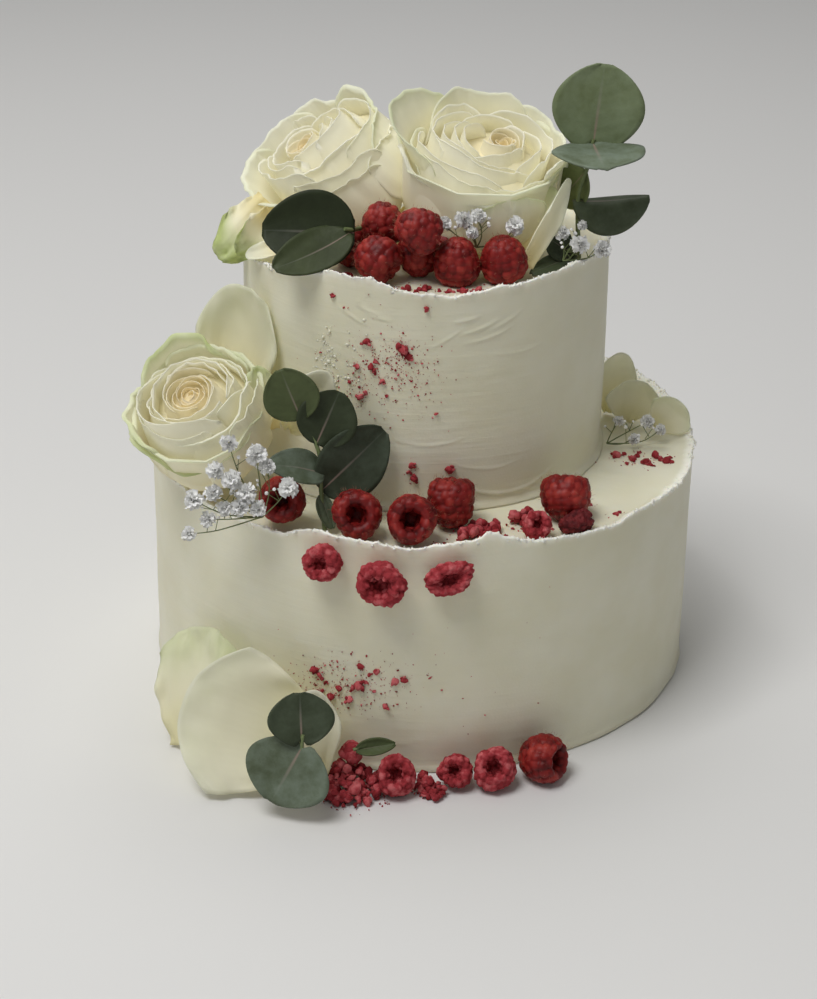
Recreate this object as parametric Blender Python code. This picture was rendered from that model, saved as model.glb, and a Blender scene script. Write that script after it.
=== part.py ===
# Two-tier cake in pale buttercream, dressed with white roses, loose rose petals,
# eucalyptus, gypsophila, raspberries and dried raspberry crumbs.
# Blender units are metres. The origin is the middle of the cake's base on the
# ground, +Z is up and the front of the cake faces -Y.
# Places and sizes below are written in millimetres and turned to metres by mm().

import math
import random

import bmesh
import bpy
from mathutils import Matrix, Vector

MM = 0.001
GAP = 0.3                 # clear space between pieces that rest on each other

# The two cakes with their icing
LOWER_RADIUS = 120.0
LOWER_TOP = 100.0
LOWER_SIDES = 46
UPPER_RADIUS = 78.0
UPPER_TOP = 192.0
UPPER_SIDES = 40
RIM_WIDTH = 5.0
RIM_RISE = 2.6            # how far the torn icing edge stands over the flat top
RAGGED = 0.7              # its fine unevenness
SIDE_WAVE = 0.5           # unevenness left by the scraper

# Where the icing was pulled up past the top: heading in degrees, extra rise, spread
LOWER_PULLS = ((-110, 4.5, 7), (-101, 2.5, 7), (-79, 5.0, 7), (-77, 2.5, 2),
               (35, 2.5, 20), (95, 3.0, 14), (160, 2.0, 25))
UPPER_PULLS = ((-120, 6.0, 12), (-106, 5.0, 6), (-45, 4.5, 24), (30, 2.5, 18),
               (85, 4.0, 20), (140, 3.0, 16), (175, 3.5, 14))

# Thickness of what is thin
PETAL_THICK = 0.9
LEAF_THICK = 0.7
STEM_RADIUS = 1.0
STALK_RADIUS = 2.4        # the roses' cut stalks
SPRAY_STEM_RADIUS = 0.45

# Colours as linear red, green and blue
ICING = (0.80, 0.76, 0.63)
ROSE_WHITE = (0.86, 0.82, 0.62)
PETAL_WHITE = (0.84, 0.82, 0.68)
LEAF_GREEN = (0.07, 0.11, 0.055)
BERRY_RED = (0.33, 0.018, 0.022)
DRIED_RED = (0.36, 0.035, 0.05)
SPRAY_WHITE = (0.84, 0.83, 0.80)


def mm(place):
    return Vector(place) * MM


def smooth(low, high, value):
    share = min(1.0, max(0.0, (value - low) / (high - low)))
    return share * share * (3.0 - 2.0 * share)


def frame_along(direction, side_hint):
    """Rotation whose Z runs along the direction and whose X lies near the hint."""
    z_axis = Vector(direction).normalized()
    y_axis = z_axis.cross(Vector(side_hint)).normalized()
    x_axis = y_axis.cross(z_axis)
    return Matrix((x_axis, y_axis, z_axis)).transposed()


# Materials and objects

def make_material(name, colour, roughness):
    material = bpy.data.materials.new(name)
    material.use_nodes = True
    surface = material.node_tree.nodes["Principled BSDF"]
    surface.inputs["Base Color"].default_value = (*colour, 1.0)
    surface.inputs["Roughness"].default_value = roughness
    surface.inputs["Metallic"].default_value = 0.0
    return material


def add_object(name, bm, material_values):
    bmesh.ops.recalc_face_normals(bm, faces=bm.faces)
    mesh = bpy.data.meshes.new(name)
    bm.to_mesh(mesh)
    bm.free()
    mesh.materials.append(make_material(name + "_finish", *material_values))
    mesh.shade_smooth()
    obj = bpy.data.objects.new(name, mesh)
    bpy.context.collection.objects.link(obj)
    return obj


def largest_shell(bm):
    """Keeps the biggest connected body: scraps go, and a hollow sealed inside fills."""
    waiting = set(bm.verts)
    shells = []
    while waiting:
        edge_of_search = [waiting.pop()]
        shell = list(edge_of_search)
        while edge_of_search:
            vert = edge_of_search.pop()
            for edge in vert.link_edges:
                other = edge.other_vert(vert)
                if other in waiting:
                    waiting.remove(other)
                    edge_of_search.append(other)
                    shell.append(other)
        shells.append(shell)
    shells.sort(key=len)
    for shell in shells[:-1]:
        bmesh.ops.delete(bm, geom=shell, context="VERTS")


def fuse(name, body, pieces, material_values):
    """One solid from a body and the pieces that touch it."""
    base = add_object(name, body, material_values)
    extra = bpy.data.collections.new(name + "_pieces")
    bpy.context.scene.collection.children.link(extra)
    for index, piece in enumerate(pieces):
        obj = add_object(f"{name}_piece_{index}", piece, material_values)
        bpy.context.collection.objects.unlink(obj)
        extra.objects.link(obj)
    union = base.modifiers.new("Union", "BOOLEAN")
    union.operation = "UNION"
    union.operand_type = "COLLECTION"
    union.collection = extra
    union.solver = "EXACT"
    graph = bpy.context.evaluated_depsgraph_get()
    fused = bpy.data.meshes.new_from_object(base.evaluated_get(graph))
    base.modifiers.remove(union)
    for obj in list(extra.objects):
        bpy.data.objects.remove(obj)
    bpy.data.collections.remove(extra)
    bm = bmesh.new()
    bm.from_mesh(fused)
    largest_shell(bm)
    bmesh.ops.dissolve_limit(bm, angle_limit=math.radians(1.0), verts=bm.verts, edges=bm.edges)
    bmesh.ops.triangulate(bm, faces=bm.faces)
    bm.to_mesh(base.data)
    bm.free()
    bpy.data.meshes.remove(fused)
    base.data.shade_smooth()
    return base


# Solids that several pieces share

def turned(rings, bottom, top):
    """A closed solid from rings of points with one point closing each end."""
    bm = bmesh.new()
    loops = [[bm.verts.new(point) for point in ring] for ring in rings]
    low = bm.verts.new(bottom)
    high = bm.verts.new(top)
    count = len(loops[0])
    for index in range(count):
        after = (index + 1) % count
        bm.faces.new((low, loops[0][after], loops[0][index]))
        bm.faces.new((high, loops[-1][index], loops[-1][after]))
        for ring, ring_over in zip(loops, loops[1:]):
            bm.faces.new((ring[index], ring[after], ring_over[after], ring_over[index]))
    bmesh.ops.triangulate(bm, faces=bm.faces)
    return bm


def sheet_solid(surface, rows, columns, thickness):
    """A thin closed solid round surface(u, v), u from -1 to 1 and v from 0 to 1."""
    bm = bmesh.new()
    step = 0.01
    top, under = {}, {}
    for row in range(rows + 1):
        for column in range(columns + 1):
            u = -1.0 + 2.0 * column / columns
            v = row / rows
            across = surface(min(1.0, u + step), v) - surface(max(-1.0, u - step), v)
            along = surface(u, min(1.0, v + step)) - surface(u, max(0.0, v - step))
            offset = across.cross(along).normalized() * (thickness * MM / 2)
            top[row, column] = bm.verts.new(surface(u, v) + offset)
            under[row, column] = bm.verts.new(surface(u, v) - offset)
    for row in range(rows):
        for column in range(columns):
            cell = ((row, column), (row, column + 1), (row + 1, column + 1), (row + 1, column))
            for corners in ((0, 1, 2), (0, 2, 3)):
                bm.faces.new([top[cell[corner]] for corner in corners])
                bm.faces.new([under[cell[corner]] for corner in reversed(corners)])
    edge = [(0, column) for column in range(columns)]
    edge += [(row, columns) for row in range(rows)]
    edge += [(rows, column) for column in range(columns, 0, -1)]
    edge += [(row, 0) for row in range(rows, 0, -1)]
    for here, after in zip(edge, edge[1:] + edge[:1]):
        bm.faces.new((top[here], under[here], under[after]))
        bm.faces.new((top[here], under[after], top[after]))
    return bm


def tube(points, radius, sides):
    """A closed rod through the points, with flat ends."""
    places = [mm(point) for point in points]
    rings = []
    for index, place in enumerate(places):
        before = places[max(0, index - 1)]
        after = places[min(len(places) - 1, index + 1)]
        turn = frame_along(after - before, (0.31, 0.95, 0.0))
        ring = []
        for side in range(sides):
            angle = math.tau * side / sides
            ring.append(place + turn @ Vector((math.cos(angle), math.sin(angle), 0)) * radius * MM)
        rings.append(ring)
    return turned(rings, places[0], places[-1])


def lump(centre, size, seed):
    """A broken crumb: a block or a twenty-sided ball, squashed and knocked out of shape."""
    rng = random.Random(seed)
    bm = bmesh.new()
    if size < 4.7:
        bmesh.ops.create_cube(bm, size=size * 0.7 * MM)
        bmesh.ops.triangulate(bm, faces=bm.faces)
    else:
        bmesh.ops.create_icosphere(bm, subdivisions=1, radius=size * MM / 2)
    squash = Vector((rng.uniform(0.8, 1.25), rng.uniform(0.75, 1.1), rng.uniform(0.65, 0.95)))
    turn = Matrix.Rotation(rng.uniform(0, math.tau), 3, "Z") @ Matrix.Rotation(rng.uniform(0, 1), 3, "X")
    for vert in bm.verts:
        knock = 1.0 + rng.uniform(-0.16, 0.16)
        shaped = Vector(a * b for a, b in zip(vert.co, squash)) * knock
        vert.co = turn @ shaped + mm(centre)
    return bm


# Cakes

def rim_rise(angle, pulls, seed):
    """How far the torn icing edge stands over the flat top at this angle."""
    rise = RIM_RISE
    for heading, extra, spread in pulls:
        off = (math.degrees(angle) - heading + 180.0) % 360.0 - 180.0
        rise += extra * math.exp(-((off / spread) ** 2))
    for waves, share in ((7, 0.8), (13, 0.6), (23, 0.5)):
        rise += RAGGED * share * math.sin(waves * angle + seed * waves * 1.7)
    return rise


def cake(bottom, top, radius, sides, pulls, seed):
    profile = (
        (radius - 0.8, bottom, 0.0),
        (radius, bottom + 3.0, 0.0),
        (radius, top - 3.0, 0.0),
        (radius - 0.9, top, 1.0),
        (radius - RIM_WIDTH, top, 0.15),
        (radius - 2.0 * RIM_WIDTH, top, 0.0),
    )
    rings = []
    for reach, height, rise in profile:
        ring = []
        for side in range(sides):
            angle = math.tau * side / sides
            wave = SIDE_WAVE * math.sin(2 * angle + seed + height * 0.03)
            lift = rise * rim_rise(angle, pulls, seed)
            around = (math.cos(angle) * (reach + wave), math.sin(angle) * (reach + wave))
            ring.append(mm((*around, height + lift)))
        rings.append(ring)
    return turned(rings, mm((0, 0, bottom)), mm((0, 0, top)))


def side_crumb(radius, heading, height, size, seed):
    """A crumb pressed into the side of a cake, about two fifths of it sunk."""
    reach = radius + size * 0.12
    angle = math.radians(heading)
    return lump((reach * math.cos(angle), reach * math.sin(angle), height), size, seed)


# Roses and petals

def cup_point(u, v, petal):
    """A petal of a rose about the rose's own axis, in millimetres."""
    reach = v * (1.0 - petal["drop"] * abs(u) ** 2.6)
    wide = 0.30 + 0.70 * math.sin(math.pi / 2 * min(1.0, reach / 0.55))
    angle = math.radians(petal["turn"] + u * petal["spread"] * wide)
    out = math.sin(math.pi / 2 * min(1.0, reach / 0.55)) ** petal["slim"]
    radius = 3.0 + (petal["belly"] - 3.0) * out
    radius += (petal["lip"] - petal["belly"]) * smooth(0.45, 1.0, reach)
    rolled = smooth(0.72, 1.0, reach)
    radius += petal["roll"] * rolled + petal["tuck"] * u * out
    height = petal["height"] * reach - petal["roll"] * 0.75 * rolled * rolled
    height += petal["wave"] * math.sin(3.1 * u * math.pi + petal["turn"]) * reach * reach
    return Vector((radius * math.cos(angle), radius * math.sin(angle), height))


def whorl(count, turn, spread, belly, lip, height, roll, slim=1.0, drop=0.36, rows=4):
    petals = []
    for index in range(count):
        uneven = 1.0 + 0.03 * math.sin(2.3 * index + turn)
        petals.append({
            "turn": turn + 360.0 * index / count + 7.0 * math.sin(1.9 * index + turn),
            "spread": spread, "belly": belly, "lip": lip * uneven, "height": height * uneven,
            "roll": roll, "slim": slim, "tuck": 1.0, "drop": drop, "wave": 0.8, "rows": rows,
        })
    return petals


def rose(name, foot, axis, stalk_end, bud_radius, bud_height, petals, guards=()):
    """The tight middle as one bud, its open petals, its cut stalk and hanging outer petals."""
    turn = frame_along(axis, (1, 0, 0))
    origin = mm(foot)
    sides = 9
    shape = ((0.34, 0.05), (0.78, 0.28), (1.0, 0.60), (0.78, 0.97), (0.36, 0.90))
    rings = []
    for share, height in shape:
        ring = []
        for side in range(sides):
            angle = math.tau * side / sides
            radius = bud_radius * share * (1.0 + 0.05 * math.cos(3 * angle + 5 * height))
            local = (radius * math.cos(angle), radius * math.sin(angle), bud_height * height)
            ring.append(origin + turn @ mm(local))
        rings.append(ring)
    bud = turned(rings, origin, origin + turn @ mm((0, 0, bud_height * 0.93)))
    inside = Vector(foot) + turn @ Vector((0, 0, 4.0))
    pieces = [tube((stalk_end, inside), STALK_RADIUS, 6)]
    for petal in petals:
        def surface(u, v, petal=petal):
            return origin + turn @ (cup_point(u, v, petal) * MM)
        pieces.append(sheet_solid(surface, petal["rows"], 4, PETAL_THICK))
    for guard in guards:
        pieces.append(blade_solid(**guard, round_top=True, rows=4, thickness=PETAL_THICK))
    return fuse(name, bud, pieces, (ROSE_WHITE, 0.55))


def blade_point(u, v, blade):
    """A leaf or a loose petal: across X, along Y, with Z to the face that shows."""
    if blade["round_top"]:
        reach = v * (1.0 - blade["drop"] * abs(u) ** 2.4)
        half = blade["foot"] + (1.0 - blade["foot"]) * math.sin(math.pi / 2 * min(1.0, reach / 0.68))
    else:
        reach = v
        half = max(0.1, math.sin(math.pi * (0.02 + 0.96 * v) ** blade["drop"]) ** 0.62)
    x = u * half * blade["width"] / 2
    y = reach * blade["length"]
    z = blade["cup"] * u * u * half
    z += blade["bend"] * 4.0 * reach * (1.0 - reach)
    z += blade["curl"] * smooth(0.7, 1.0, reach)
    z += blade["wave"] * math.sin(2.6 * u * math.pi + 5.0 * v) * v
    return Vector((x, y, z))


def blade_solid(base, tip, face, width, cup=2.0, bend=0.0, curl=0.0, wave=0.5, drop=None,
                round_top=False, foot=0.16, rows=5, columns=2, thickness=LEAF_THICK):
    start, end = Vector(base), Vector(tip)
    along = (end - start).normalized()
    across = along.cross(Vector(face)).normalized()
    facing = across.cross(along)
    turn = Matrix((across, along, facing)).transposed()
    if drop is None:
        drop = 0.42 if round_top else 0.86
    blade = {"width": width, "length": (end - start).length, "cup": cup, "bend": bend,
             "curl": curl, "wave": wave, "drop": drop, "round_top": round_top, "foot": foot}

    def surface(u, v):
        return mm(start + turn @ blade_point(u, v, blade))

    return sheet_solid(surface, rows, columns, thickness)


def loose_petal(name, base, tip, face, width, **shape):
    petal = blade_solid(base, tip, face, width, round_top=True, rows=3, columns=4,
                        thickness=PETAL_THICK, **shape)
    return add_object(name, petal, (PETAL_WHITE, 0.55))


# Greenery and sprays

def sprig(name, stem, leaves, radius=STEM_RADIUS):
    """A eucalyptus stem with its leaves grown on it."""
    body = tube(stem, radius, 5)
    return fuse(name, body, [blade_solid(**leaf) for leaf in leaves], (LEAF_GREEN, 0.5))


def spray(name, root, heads, seed):
    """Gypsophila: thin stems that part from one root, a floret at each end."""
    rng = random.Random(seed)
    root_point = Vector(root)
    pieces = []
    for x, y, z, size in heads:
        head = Vector((x, y, z))
        start = root_point + Vector((rng.uniform(-0.3, 0.3), rng.uniform(-0.3, 0.3), rng.uniform(0, 0.6)))
        pieces.append(tube((start, head), SPRAY_STEM_RADIUS, 3))
        pieces.append(lump(head, size, seed + len(pieces)))
    return fuse(name, lump(root, 2.4, seed), pieces, (SPRAY_WHITE, 0.7))


# Raspberries and crumbs

def raspberry(name, centre, mouth, radius, length, hollow, seed, dried=False, flat=1.0):
    """A thimble of lumps; mouth points out of the end where the stalk was."""
    sides = 8
    turn = frame_along(mouth, (0.9, 0.3, 0.31))
    rng = random.Random(seed)
    rough = 0.12 if dried else 0.05
    profile = ((0.55, -0.44), (0.88, -0.22), (1.0, 0.08), (0.90, 0.36), (0.64, 0.48))
    if hollow:
        profile += ((0.44, 0.36), (0.26, -0.02))
    rings = []
    for level, (share, height) in enumerate(profile):
        ring = []
        for side in range(sides):
            angle = math.tau * (side + 0.5 * (level % 2)) / sides
            bump = 1.0 + rng.uniform(-rough, rough)
            reach = radius * share * bump
            local = (reach * math.cos(angle), reach * math.sin(angle) * flat, length * height)
            ring.append(mm(centre) + turn @ mm(local))
        rings.append(ring)
    tip = mm(centre) + turn @ mm((0, 0, -0.5 * length))
    inner = mm(centre) + turn @ mm((0, 0, length * (-0.08 if hollow else 0.44)))
    body = turned(rings, tip, inner)
    colour = DRIED_RED if dried else BERRY_RED
    return add_object(name, body, (colour, 0.7 if dried else 0.4))


def crumb_heap(name, mound, places, floor, seed):
    """Crumbs in a heap on a flat place: a low mound of dust and the crumbs that show."""
    x, y, reach, height = mound
    rings = []
    for share, lift in ((1.0, 0.0), (0.72, 0.7)):
        ring = []
        for side in range(8):
            angle = math.tau * side / 8
            out = reach * share * (1.0 + 0.16 * math.sin(3 * angle + seed))
            ring.append(mm((x + out * math.cos(angle), y + out * math.sin(angle), floor + height * lift)))
        rings.append(ring)
    body = turned(rings, mm((x, y, floor)), mm((x, y, floor + height)))
    pieces = [lump((px, py, floor + lift), size, seed + index)
              for index, (px, py, lift, size) in enumerate(places)]
    for piece in pieces:
        for vert in piece.verts:
            vert.co.z = max(vert.co.z, floor * MM + 0.00005)
    return fuse(name, body, pieces, (DRIED_RED, 0.8))


# What is on the cake, named by where it is

def build_cakes():
    lower = cake(0.0, LOWER_TOP, LOWER_RADIUS, LOWER_SIDES, LOWER_PULLS, 1.3)
    crumbs = []
    for index, (heading, height, size) in enumerate((
            (-111.2, 44.3, 4.6), (-106.3, 37.5, 3.4), (-107.9, 33.0, 4.3), (-110.4, 33.7, 3.6),
            (-102.2, 40.4, 5.4), (-104.0, 33.1, 4.3), (-101.8, 49.5, 3.4), (-95.0, 43.9, 4.0),
            (-93.2, 44.6, 4.0))):
        crumbs.append(side_crumb(LOWER_RADIUS, heading, height, size, 40 + index))
    for index, (x, y, size) in enumerate((
            (84.5, -22.0, 4.4), (91.0, -25.0, 4.2), (96.5, -28.5, 4.6), (101.5, -22.5, 5.4),
            (106.0, -27.5, 4.8), (79.5, -79.0, 3.4), (5.0, -110.0, 4.0), (13.0, -110.5, 3.4),
            (-60.0, 78.0, 4.4), (-52.0, 84.0, 5.0))):
        crumbs.append(lump((x, y, LOWER_TOP + size * 0.22), size, 70 + index))
    fuse("lower_tier", lower, crumbs, (ICING, 0.5))

    upper = cake(LOWER_TOP + GAP, UPPER_TOP, UPPER_RADIUS, UPPER_SIDES, UPPER_PULLS, 4.1)
    crumbs = []
    for index, (heading, height, size) in enumerate((
            (-107.6, 173.6, 4.0), (-96.3, 171.7, 6.0), (-106.3, 163.1, 3.8), (-109.4, 149.4, 4.0),
            (-93.5, 121.1, 4.0), (-92.8, 115.2, 4.4), (-82.4, 119.0, 4.8), (75.0, 168, 4.0))):
        crumbs.append(side_crumb(UPPER_RADIUS, heading, height, size, 10 + index))
    for index, (x, y, size) in enumerate((
            (-7.4, -66.5, 4.4), (-0.6, -66.0, 4.6), (14.5, -68.5, 4.4), (20.5, -67.0, 4.4),
            (-44.0, -47.5, 6.6), (-38.3, -51.0, 5.0), (-33.5, -54.5, 6.4))):
        crumbs.append(lump((x, y, UPPER_TOP + size * 0.22), size, 30 + index))
    fuse("upper_tier", upper, crumbs, (ICING, 0.5))


def build_roses():
    rose("rose_top_right", (21, -8, UPPER_TOP + 3), (0.02, -0.27, 0.96), (21, -6, UPPER_TOP + GAP + 1.0),
         16, 54,
         whorl(4, 20, 52, 23, 25, 54, 1.5, slim=0.85, rows=3) +
         whorl(4, 62, 52, 29, 31, 52, 3.5, slim=0.7, drop=0.30) +
         [{"turn": 170, "spread": 36, "belly": 33, "lip": 37, "height": 60, "roll": 2.0,
           "slim": 0.7, "tuck": 0.5, "drop": 0.34, "wave": 1.0, "rows": 4}],
         (dict(base=(30, -27, 202), tip=(54, -37, 228), face=(0.3, -0.9, 0.1), width=17),))
    rose("rose_top_left", (-17, 8, UPPER_TOP + 4), (-0.60, -0.17, 0.78), (-12, 10, UPPER_TOP + GAP + 1.8),
         15, 46,
         whorl(4, 10, 52, 22, 25, 50, 0.5, rows=3) +
         whorl(4, 55, 50, 27, 33, 51, 1.5, drop=0.30),
         (dict(base=(-60, -12, 211), tip=(-88, -30, 192), face=(-0.6, -0.7, 0.3), width=26),))
    rose("rose_middle", (-84, -50, LOWER_TOP + 15), (-0.26, -0.52, 0.80), (-80, -45, LOWER_TOP + GAP + 1.7),
         13, 42,
         whorl(4, 10, 52, 18.5, 20, 44, 1.0, rows=3) +
         whorl(4, 55, 52, 23, 26, 42, 3.0, drop=0.30))


def build_petals():
    loose_petal("petal_ledge_back", (-82, -36, 130), (-73, -36, 181), (-0.62, -0.75, 0.2), 50, cup=4)
    loose_petal("petal_ledge_right", (-56, -67, 132), (-40, -80, 163), (0.25, -0.9, 0.35), 25, cup=2)
    loose_petal("petal_foot_front", (-72, -139.5, 1.6), (-69, -112, 55), (-0.1, -0.9, 0.4), 46, cup=7,
                foot=0.5)
    loose_petal("petal_foot_left", (-104, -116, 1.4), (-96, -90, 52), (-0.5, -0.8, 0.3), 34, cup=5,
                foot=0.5)
    loose_petal("petal_foot_right", (-42, -131, 6), (-48, -122, 42), (0.2, -0.9, 0.3), 22, cup=1)
    loose_petal("petal_rear_tall", (84, 24, 101.5), (88, 20, 133), (0.2, -0.9, 0.2), 20, cup=3)
    loose_petal("petal_rear_wide", (92, 12, 101.5), (94, 14, 122), (0.2, -0.9, 0.3), 26, cup=3)
    loose_petal("petal_rear_right", (104, 3, 102.2), (115, 5, 115), (0.2, -0.8, 0.5), 22, cup=3)


def build_greenery():
    sprig("eucalyptus_top_right",
          ((63, -28, 193.5), (61, -33, 220), (64, -33, 233), (66, -33, 245)),
          (dict(base=(66, -33, 244), tip=(69, -31, 275), face=(0, -0.9, 0.35), width=37),
           dict(base=(66, -33.5, 243.5), tip=(68, -64, 242), face=(0, -0.2, 1), width=37),
           dict(base=(63.5, -33, 232), tip=(56, -19, 217), face=(-0.1, -0.8, 0.5), width=15),
           dict(base=(61, -33, 218), tip=(88, -32, 221), face=(0, -0.8, 0.6), width=20)))
    sprig("eucalyptus_top_low",
          ((62, -31, 194.2), (60, -35, 198), (57.5, -38, 200)),
          (dict(base=(60.8, -33.6, 196.6), tip=(42, -55.5, 196.2), face=(-0.2, -0.6, 0.8), width=8,
                cup=0.6),
           dict(base=(58.4, -37, 199.2), tip=(48, -42, 206), face=(0.3, -0.8, 0.4), width=12,
                cup=1.0)), 1.2)
    sprig("eucalyptus_top_left",
          ((-27, -43, 210), (-30, -48, 211), (-33, -50, 212)),
          (dict(base=(-29, -49, 210), tip=(-66, -50, 211), face=(0, -0.85, 0.5), width=32),
           dict(base=(-31, -50, 210.5), tip=(-60, -69, 201.5), face=(0, -0.6, 0.8), width=20)))
    sprig("eucalyptus_middle",
          ((-39.5, -98, 101.5), (-41, -95, 118), (-42, -91, 133), (-49, -89, 147)),
          (dict(base=(-49, -89, 146), tip=(-57, -86, 166), face=(-0.2, -0.9, 0.3), width=22),
           dict(base=(-43, -91, 136), tip=(-34, -84, 156), face=(0.2, -0.9, 0.3), width=24),
           dict(base=(-40, -93, 124), tip=(-62, -103, 132), face=(0, -0.6, 0.8), width=16),
           dict(base=(-40.8, -94.8, 117.3), tip=(-16, -81, 138), face=(0.2, -1, 0.1), width=26)))
    sprig("eucalyptus_foot",
          ((-47, -148, 27), (-47, -147, 31), (-46.5, -146, 35)),
          (dict(base=(-47, -147, 33), tip=(-48, -139, 50), face=(0.2, -0.9, 0.4), width=26),
           dict(base=(-47, -148, 29), tip=(-60, -156, 8), face=(-0.1, -0.9, 0.4), width=32)))
    sprig("leaf_foot_small",
          ((-27, -131.5, 18.5), (-25, -131, 19)),
          (dict(base=(-26, -131.5, 18.5), tip=(-10, -129, 20), face=(0, -0.8, 0.6), width=7),))


def build_sprays():
    spray("gypsophila_top", (20, -50, 205),
          ((14.5, -51, 217, 7.4), (6.5, -51, 215, 6.0), (20.5, -51, 218.5, 6.0),
           (18, -54, 212.5, 5.0), (35, -52, 215, 7.4)), 300)
    spray("gypsophila_top_right", (55, -46, 198.5),
          ((61.5, -47, 206, 7.6), (70.5, -46, 203.5, 7.0), (54.5, -44, 209.5, 6.0),
           (62.5, -43, 212.5, 4.0)), 320)
    spray("gypsophila_middle", (-65, -111, 110),
          ((-76, -110, 145, 7.0), (-65.5, -110, 140, 8.4), (-61, -110, 135, 6.4),
           (-81.5, -110, 133, 7.0), (-75, -112, 130, 8.0), (-82.5, -112, 124, 7.0),
           (-69.5, -113, 125, 8.4), (-78, -113, 118, 6.4), (-90.5, -110, 120, 8.0),
           (-53, -112, 127, 8.0), (-93, -110, 105, 6.0)), 340)
    spray("gypsophila_rear", (81, -12, 101.8),
          ((86, -10, 112, 5.0), (92.5, -14, 105, 5.0), (99, -8, 111, 6.0),
           (104.5, -10, 108, 5.0)), 360)


def build_raspberries():
    front = (0.0, -0.9, 0.42)
    berries = (
        ("raspberry_top_1", (-20, -57.5, 202.6), (0.75, -0.5, -0.4), 8.8, 18, False, False),
        ("raspberry_top_2", (-3.4, -49, 200.6), (0, 0.5, 0.8), 7.9, 15, False, False),
        ("raspberry_top_3", (12, -57, 201.6), (0, 0.2, -0.98), 8.6, 18, False, False),
        ("raspberry_top_4", (30.5, -55.7, 202.6), (0.2, 0.2, -0.96), 9.0, 18.5, False, False),
        ("raspberry_top_5", (-18, -43, 212.5), (0, 0.5, -0.8), 8.0, 16, False, False),
        ("raspberry_top_6", (-4.1, -60.5, 215.5), (0.85, 0.2, -0.4), 8.8, 19, False, False),
        ("raspberry_top_7", (-31, -38, 201.2), (0.3, 0.5, -0.8), 7.5, 14, False, False),
        ("raspberry_top_8", (7, -38, 200), (0.3, 0.5, 0.8), 6.5, 13, False, False),
        ("raspberry_ledge_1", (-57, -93, 112), front, 9.0, 16, True, False),
        ("raspberry_ledge_2", (-26.4, -102.2, 110.6), front, 9.4, 17, True, False),
        ("raspberry_ledge_3", (-4.9, -106.5, 110.9), front, 9.8, 18, True, False),
        ("raspberry_ledge_4", (11.5, -90.4, 110.6), (0, 0.35, 0.93), 9.2, 19, False, False),
        ("raspberry_ledge_5", (58, -83.2, 109.9), (0, 0.5, 0.85), 9.8, 17, False, False),
        ("raspberry_ledge_6", (45.5, -101.5, 106.3), (0.1, -0.8, 0.6), 5.4, 9, True, True),
        ("raspberry_ledge_7", (61.5, -95.5, 105.0), (0.9, 0.35, 0.1), 4.0, 13, False, True),
        ("raspberry_foot_1", (-9.5, -134, 8.4), (0, -0.8, 0.6), 7.9, 13, True, True),
        ("raspberry_foot_2", (14, -129.0, 7.0), (0, -0.8, 0.6), 6.6, 11, True, True),
        ("raspberry_foot_3", (30.2, -128.4, 8.0), (0, -0.75, 0.65), 8.2, 13, True, True),
        ("raspberry_foot_4", (50.2, -121.8, 9.2), (0.8, -0.5, 0.2), 9.2, 17, True, False),
    )
    for seed, (name, centre, mouth, radius, length, hollow, dried) in enumerate(berries):
        raspberry(name, centre, mouth, radius, length, hollow, 500 + seed, dried)
    sides = (
        ("raspberry_side_1", -108.4, 98, 8.0, 8, 0.92),
        ("raspberry_side_2", -97.5, 93, 9.6, 11, 0.92),
        ("raspberry_side_3", -85.1, 94.8, 8.8, 8, 0.75),
    )
    for seed, (name, heading, height, radius, length, flat) in enumerate(sides):
        angle = math.radians(heading)
        reach = LOWER_RADIUS + SIDE_WAVE + GAP + length * 0.5
        centre = (reach * math.cos(angle), reach * math.sin(angle), height)
        mouth = (math.cos(angle), math.sin(angle), 0.0)
        raspberry(name, centre, mouth, radius, length, True, 560 + seed, True, flat)


def build_heaps():
    crumb_heap("crumbs_ledge_left", (22, -99, 7.5, 3.0), (
        (16, -103, 2.6, 6.5), (21, -102, 3.4, 8.5), (27.5, -100.5, 2.8, 7.0), (29, -95, 2.6, 6.5),
        (24, -95.5, 3.2, 7.0)), LOWER_TOP + GAP, 600)
    crumb_heap("crumbs_ledge_right", (42, -87, 6.0, 2.4), (
        (37.5, -88, 3.0, 7.0), (42.5, -84.5, 3.0, 7.0), (46.5, -87.5, 2.6, 6.0),
        (42, -90.5, 2.6, 5.5)), LOWER_TOP + GAP, 620)
    crumb_heap("crumbs_foot", (-29, -132, 10.5, 13.0), (
        (-28.5, -127, 13.0, 12.0), (-33, -130, 8.0, 9.0), (-23, -129, 7.0, 8.5), (-36.5, -135, 4.6, 7.5),
        (-34, -141, 3.6, 8.0), (-26, -139, 5.4, 10.0), (-30, -143, 3.0, 7.0),
        (-22, -140.5, 3.0, 6.5)), 0.0, 640)
    crumb_heap("crumbs_foot_right", (3.5, -131.5, 3.6, 2.4), (
        (2.5, -128.5, 3.6, 7.0), (5.0, -134.5, 2.6, 5.0), (0.8, -133.5, 2.6, 6.0),
        (3.5, -138.0, 2.4, 6.0)), 0.0, 660)


def main():
    for obj in list(bpy.data.objects):
        bpy.data.objects.remove(obj)
    build_cakes()
    build_roses()
    build_petals()
    build_greenery()
    build_sprays()
    build_raspberries()
    build_heaps()


main()
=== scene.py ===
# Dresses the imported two-tier cake: buttercream, roses, petals, eucalyptus, gypsophila,
# raspberries and dried raspberry crumbs. Shapes are worked out in millimetres.
import math
import random

import bmesh
import bpy
import numpy as np
from mathutils import Matrix, Vector, noise


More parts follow.
